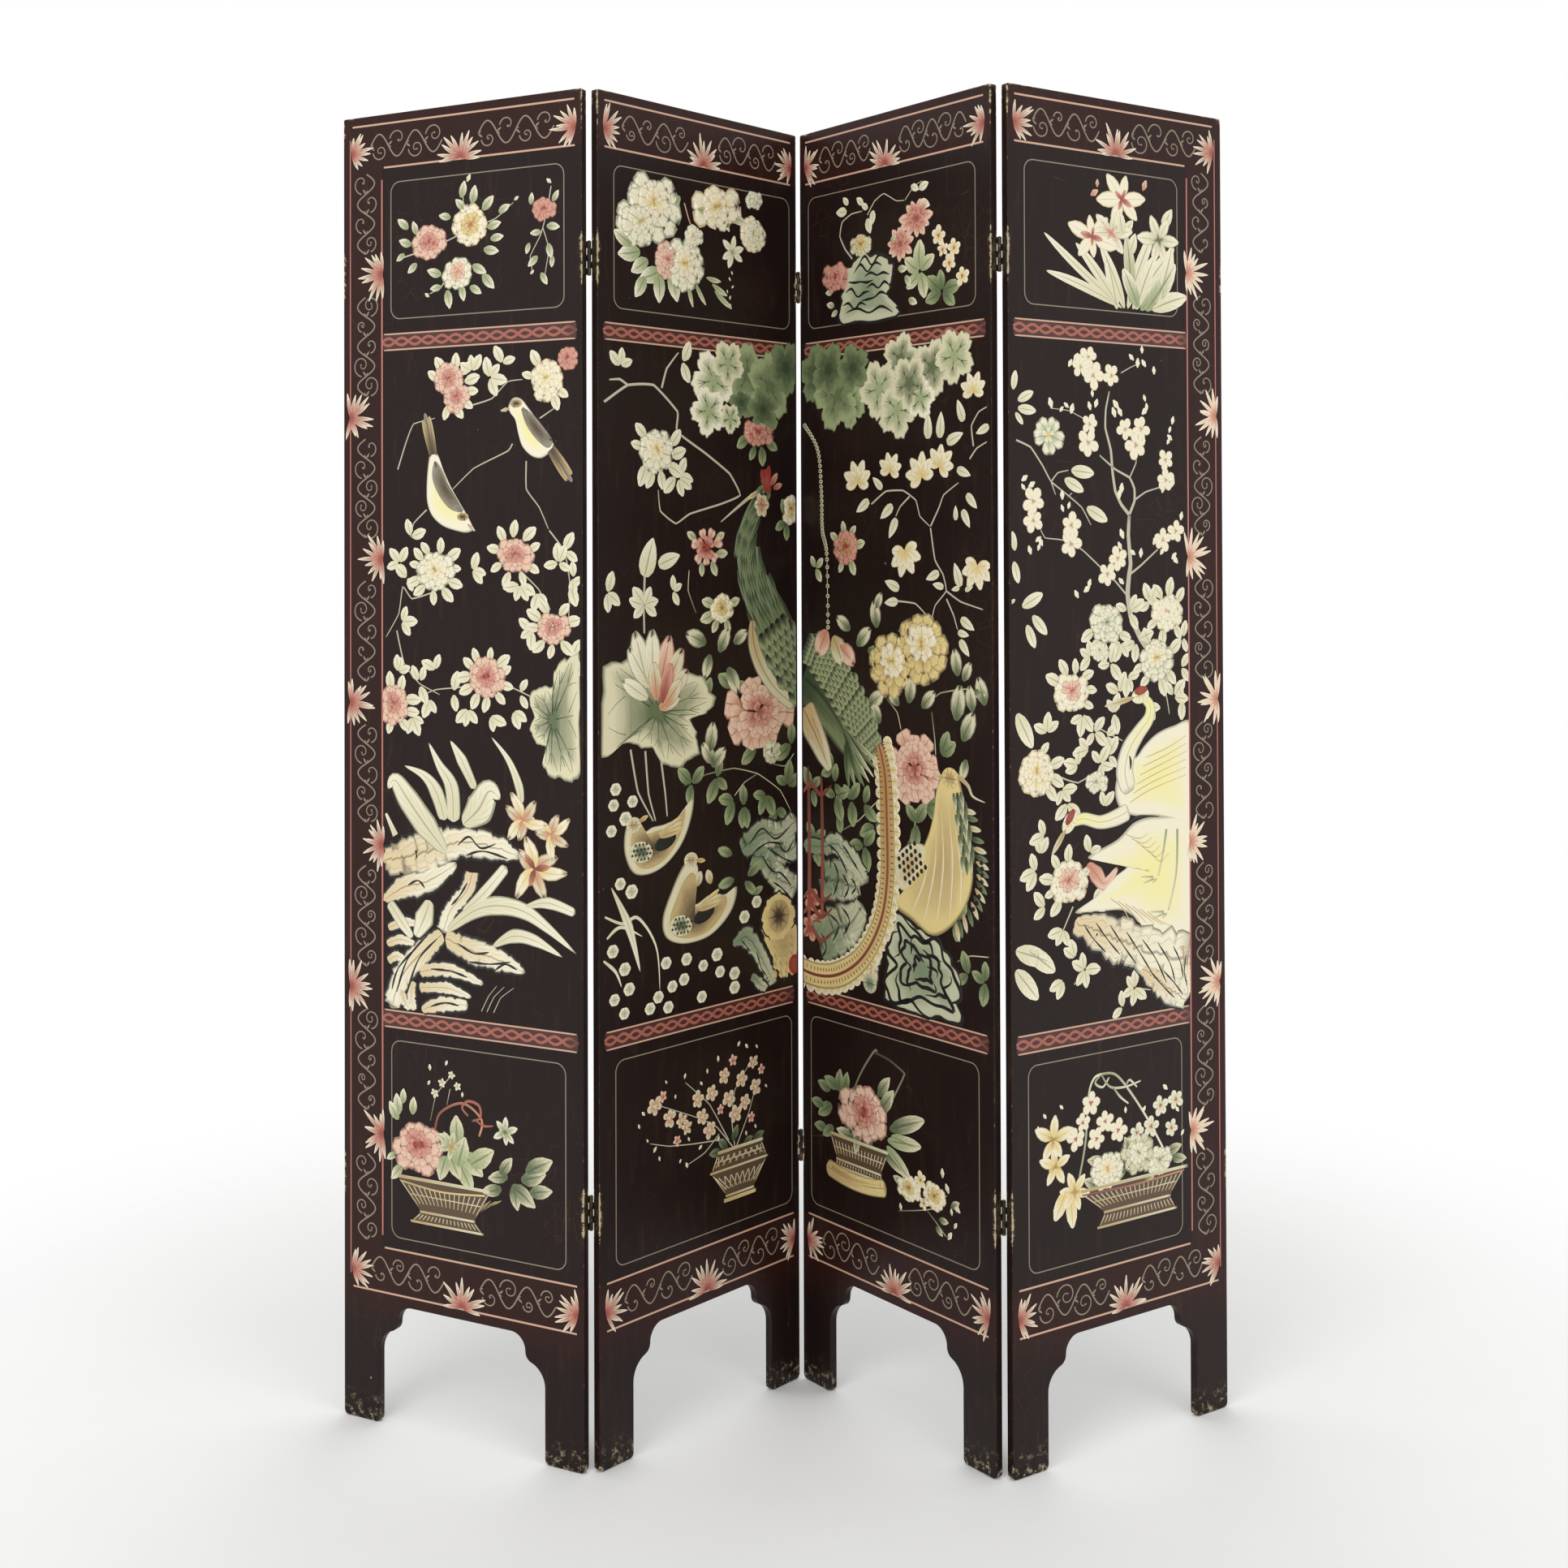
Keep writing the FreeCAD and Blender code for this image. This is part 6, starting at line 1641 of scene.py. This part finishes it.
        art.sprigs(x, z, reach, angles, 21, "ivory", 13)
    for line in (((268, 1040), (286, 1012), (292, 985)), ((129, 993), (161, 972), (204, 953)),
                 ((76, 916), (120, 902), (190, 930)), ((110, 738), (92, 708), (80, 690)), ((130, 650), (110, 632)),
                 ((222, 614), (262, 606))):
        art.twig(line, (2.8, 1.6))


def cranes_and_rock(art):
    """Two cranes on ledges of rock."""
    art.slab(((112, 716), (150, 700), (196, 682), (250, 662), (330, 640)), (22, 48, 64, 70, 84),
             (((128, 712), (146, 690), (170, 668)), ((150, 712), (172, 686), (196, 662)),
              ((176, 706), (200, 676), (226, 646)), ((206, 694), (230, 664), (256, 630)),
              ((236, 680), (262, 650), (284, 612)), ((266, 672), (290, 640), (300, 612)),
              ((296, 664), (310, 640), (316, 616))), "stone", 3.4)
    art.slab(((236, 640), (268, 620), (300, 598), (322, 584)), (18, 40, 40, 26),
               (((250, 636), (276, 610), (300, 590)), ((276, 632), (298, 612), (316, 592))), "stone", 3.4)
    art.slab(((316, 664), (318, 630), (326, 592)), (36, 34, 22), (((322, 650), (318, 624), (324, 604)),), "stone",
             3.0)
    art.stroke(((136, 792), (152, 776), (168, 762), (192, 782)), (10, 26, 18, 6), "blush", BODY, 20)
    crane(art,
          ((272, 846), (225, 842), (190, 820), (136, 801), (176, 791), (208, 782), (182, 768), (150, 746),
           (112, 728), (160, 725), (200, 722), (226, 706), (244, 684), (290, 677), (336, 672), (336, 760),
           (336, 834)), (262, 768), ((108, 850), (130, 853), (160, 846), (190, 850), (214, 858)),
          (14, 17, 19, 24, 26), (104, 850), 232, 42)
    crane(art,
          ((336, 972), (300, 970), (268, 961), (244, 946), (226, 930), (206, 930), (192, 908), (187, 884),
           (196, 862), (220, 850), (262, 846), (300, 838), (336, 826), (336, 900)), (270, 902),
          ((240, 1012), (254, 1000), (252, 982), (232, 962), (214, 940), (206, 910), (216, 880)),
          (13, 17, 20, 24, 30, 34, 30), (236, 1014), 190, 58)
    art.stroke(((214, 934), (217, 924), (216, 912)), (1, 6, 1), "black", DETAIL, 10)
    art.stroke(((214, 840), (232, 848), (272, 845)), (1, 4, 1), "black", DETAIL, 12)
    quill_lines = ((((214, 868), (256, 884), (326, 900)), ((6, 12), (6, 11), (0, 11)), 1.8),
                   (((176, 742), (200, 726), (214, 706)), ((14, -5), (14, -5), (16, -3)), 1.8),
                   (((206, 826), (232, 818), (250, 824)), ((10, -6), (8, -7), (8, -6)), 1.6))
    for index in range(6):
        for first, step, width in quill_lines:
            art.stroke(np.array(first) + index * np.array(step), (0.8, width, 0.8), "ochre", DETAIL + 1, 18)
    for leg in (((285, 828), (278, 796), (268, 762)), ((306, 828), (303, 764), (287, 712))):
        art.stroke(leg, (5.0, 4.0), "pale_leaf", DETAIL + 1)
        toes = [(leg[-1], (leg[-1][0] + reach, leg[-1][1] + rise))
                for reach, rise in ((-42, 4), (-36, -8), (-14, -10))]
        art.strokes(np.array(toes, float), (4.0, 2.4), "pale_leaf", DETAIL + 1.4)


# Each picture is listed as its leaf's number, its name, the seed of its random numbers and the function that
# draws it.
SMALL_PICTURES = ((1, "top_flowers", 1, top_flowers_1), (1, "basket", 2, basket_1),
                  (2, "top_flowers", 1, top_flowers_2), (2, "basket", 2, basket_2),
                  (3, "top_flowers", 1, top_flowers_3), (3, "basket", 2, basket_3),
                  (4, "top_flowers", 1, top_flowers_4), (4, "basket", 2, basket_4))
LARGE_PICTURES = ((1, "branches", 3, branches_1), (1, "birds", 4, birds_1), (1, "orchids_and_rock", 5, garden_1),
                  (2, "branches", 3, branches_2), (2, "lotus_and_rocks", 5, lotus_and_rocks),
                  (2, "birds", 4, birds_2), (3, "branches", 3, branches_3), (3, "rocks", 5, rocks_3),
                  (3, "birds", 4, birds_3), (4, "branches", 3, branches_4),
                  (4, "cranes_and_rock", 4, cranes_and_rock))


def paint(pictures, edges):
    """Paints the listed pictures, each cut off at its leaf's edges."""
    for number, name, seed, draw in pictures:
        art = Art(Leaf(number), f"leaf_{number}_{name}", seed)
        art.edge = edges.get(number, art.edge)
        draw(art)
        art.make()


class SCREEN_OT_lacquer(bpy.types.Operator):
    """Gives every wooden piece the lacquer of its leaf"""

    bl_idname = "screen.lacquer"
    bl_label = "Lacquer the leaves"

    def execute(self, context):
        for number in LEAVES:
            leaf = Leaf(number)
            material = lacquer(leaf)
            for node in leaf.nodes():
                finish_with(node, material)
        return {"FINISHED"}


class SCREEN_OT_hinges(bpy.types.Operator):
    """Gives the hinges, their pins and their screws aged brass"""

    bl_idname = "screen.hinges"
    bl_label = "Age the hinges"

    def execute(self, context):
        plates, rubbed = aged_brass("dark brass", 0.40), aged_brass("rubbed brass", 0.58)
        for name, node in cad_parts.items():
            if "flap" in name:
                finish_with(node, plates)
            elif "pin" in name or "screws" in name:
                finish_with(node, rubbed)
        return {"FINISHED"}


class SCREEN_OT_borders(bpy.types.Operator):
    """Paints the lines, bands, scrolls and palmettes of all leaves"""

    bl_idname = "screen.borders"
    bl_label = "Paint the borders"

    def execute(self, context):
        for number in LEAVES:
            paint_borders(Leaf(number))
        return {"FINISHED"}


class SCREEN_OT_small_pictures(bpy.types.Operator):
    """Paints the flowers of the upper reserves and the baskets of the lower ones"""

    bl_idname = "screen.small_pictures"
    bl_label = "Paint the small pictures"

    def execute(self, context):
        paint(SMALL_PICTURES, {})
        return {"FINISHED"}


class SCREEN_OT_large_pictures(bpy.types.Operator):
    """Paints the birds, flowers, rocks and water of the large fields"""

    bl_idname = "screen.large_pictures"
    bl_label = "Paint the large pictures"

    def execute(self, context):
        paint(LARGE_PICTURES, FIELD_EDGES)
        return {"FINISHED"}


# The photograph's frame, its optical axis in it, and the angles that the camera leans by.
PHOTO_SIDE, AXIS_ACROSS, AXIS_DOWN = 1932.0, 930.0, 655.0
EYE = Vector((-0.042, -2.695, 1.211))
PITCH, ROLL = 0.66, -0.18
SENSOR = 36.0

# The lamps' places and sizes, in metres, then the floor's reach from its middle, how many cells it has along a
# side, how far from its middle it starts to fade and is gone, and how far it lies below the feet.
KEY, FILL, REAR = ((-2.2, -3.4, 3.2), 2.4), ((2.8, -3.0, 2.0), 2.6), ((0.4, 3.4, 2.8), 2.4)
FLOOR_REACH, FLOOR_CELLS, FADE, FLOOR_DROP = 5.0, 24, (0.75, 1.9), 0.0005


class SCREEN_OT_stage(bpy.types.Operator):
    """Makes the floor, the lamps, the plain sky and the camera"""

    bl_idname = "screen.stage"
    bl_label = "Set the stage"

    def execute(self, context):
        settings = context.scene.screen_stage
        context.scene.view_settings.view_transform = "Standard"
        self.floor()
        self.lamp("key", settings.key, *KEY)
        self.lamp("fill", settings.fill, *FILL)
        self.lamp("rear", settings.fill * 0.6, *REAR)
        self.sky(settings.sky)
        camera = bpy.data.cameras.new("camera")
        camera.sensor_width = SENSOR
        camera.lens = settings.lens
        camera.shift_x = (PHOTO_SIDE / 2 - AXIS_ACROSS) / PHOTO_SIDE
        camera.shift_y = -(PHOTO_SIDE / 2 - AXIS_DOWN) / PHOTO_SIDE
        eye = bpy.data.objects.new("camera", camera)
        lean = Matrix.Rotation(math.radians(90 + PITCH), 4, "X") @ Matrix.Rotation(math.radians(ROLL), 4, "Z")
        eye.matrix_world = Matrix.Translation(EYE) @ lean
        context.scene.collection.objects.link(eye)
        context.scene.camera = eye
        return {"FINISHED"}

    def floor(self):
        """A plain pale floor that keeps the screen's shadow and fades away into the white sky round it."""
        count = FLOOR_CELLS + 1
        span = np.linspace(-FLOOR_REACH, FLOOR_REACH, count)
        x, y = np.meshgrid(span, span)
        places = np.stack([x, y, np.full_like(x, -FLOOR_DROP)], -1).reshape(-1, 3)
        corner = np.arange(FLOOR_CELLS)[:, None] * count + np.arange(FLOOR_CELLS)
        faces = np.stack([corner, corner + 1, corner + count + 1, corner + count], -1).reshape(-1, 4)
        mesh = bpy.data.meshes.new("floor")
        mesh.from_pydata(places.tolist(), [], faces.tolist())
        floor = bpy.data.objects.new("floor", mesh)
        bpy.context.scene.collection.objects.link(floor)
        shader = Shader("pale floor")
        place = shader.place()
        tone = shader.mix(shader.noise(place, 3.0), linear((0.96, 0.96, 0.96)), linear((0.98, 0.98, 0.97)))
        mesh.materials.append(shader.finish(Base_Color=tone, Roughness=0.9))
        away = shader.value("ShaderNodeVectorMath", {0: place}, "Value", operation="LENGTH").step(*FADE)
        faded = shader.value("ShaderNodeMixShader", {0: away, 1: Value(shader, shader.skin.outputs[0]),
                                                     2: shader.value("ShaderNodeBsdfTransparent")})
        shader.fill(shader.tree.nodes["Material Output"], {"Surface": faded})

    def lamp(self, name, power, place, size):
        """A square soft lamp that faces the middle of the screen."""
        light = bpy.data.lights.new(name, "AREA")
        light.energy, light.size = power, size
        lamp = bpy.data.objects.new(name, light)
        lamp.location = place
        middle = (CAD_LOW + CAD_HIGH) / 2
        lamp.rotation_euler = (middle - Vector(place)).to_track_quat("-Z", "Y").to_euler()
        bpy.context.scene.collection.objects.link(lamp)

    def sky(self, strength):
        """An even white sky: plain white to the camera and in reflections, dimmer where it lights the screen."""
        world = bpy.data.worlds.new("sky")
        bpy.context.scene.world = world
        world.use_nodes = True
        tree = world.node_tree
        back = tree.nodes["Background"]
        path = tree.nodes.new("ShaderNodeLightPath")
        white = path.outputs["Is Camera Ray"]
        for kind in ("Is Glossy Ray", "Is Transmission Ray"):
            either = tree.nodes.new("ShaderNodeMath")
            either.operation = "MAXIMUM"
            tree.links.new(white, either.inputs[0])
            tree.links.new(path.outputs[kind], either.inputs[1])
            white = either.outputs[0]
        level = tree.nodes.new("ShaderNodeMapRange")
        tree.links.new(white, level.inputs["Value"])
        level.inputs["To Min"].default_value, level.inputs["To Max"].default_value = strength, 1.0
        back.inputs["Color"].default_value = (1.0, 1.0, 1.0, 1.0)
        tree.links.new(level.outputs["Result"], back.inputs["Strength"])


class SCREEN_PT_sidebar(bpy.types.Panel):
    """The screen's sizes, colours and steps"""

    bl_label = "Painted screen"
    bl_idname = "SCREEN_PT_sidebar"
    bl_space_type = "VIEW_3D"
    bl_region_type = "UI"
    bl_category = "Screen"

    def draw(self, context):
        scene = context.scene
        for group in (scene.screen_lacquer, scene.screen_relief, scene.screen_paints, scene.screen_stage):
            box = self.layout.box()
            for name in group.__annotations__:
                box.prop(group, name)
        for step in STEPS:
            self.layout.operator(step.bl_idname)


STEPS = (SCREEN_OT_lacquer, SCREEN_OT_hinges, SCREEN_OT_borders, SCREEN_OT_small_pictures, SCREEN_OT_large_pictures,
         SCREEN_OT_stage)
GROUPS = {"screen_paints": ScreenPaints, "screen_lacquer": ScreenLacquer, "screen_relief": ScreenRelief,
          "screen_stage": ScreenStage}


def register():
    """Adds the property groups, the operators and the panel."""
    for name, group in GROUPS.items():
        bpy.utils.register_class(group)
        setattr(bpy.types.Scene, name, bpy.props.PointerProperty(type=group))
    for item in (*STEPS, SCREEN_PT_sidebar):
        bpy.utils.register_class(item)


def unregister():
    """Takes them away again."""
    for item in (SCREEN_PT_sidebar, *reversed(STEPS)):
        bpy.utils.unregister_class(item)
    for name, group in reversed(GROUPS.items()):
        delattr(bpy.types.Scene, name)
        bpy.utils.unregister_class(group)


def main():
    """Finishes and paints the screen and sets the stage."""
    register()
    bpy.ops.screen.lacquer()
    bpy.ops.screen.hinges()
    bpy.ops.screen.borders()
    bpy.ops.screen.small_pictures()
    bpy.ops.screen.large_pictures()
    bpy.ops.screen.stage()


if __name__ == "__main__":
    main()
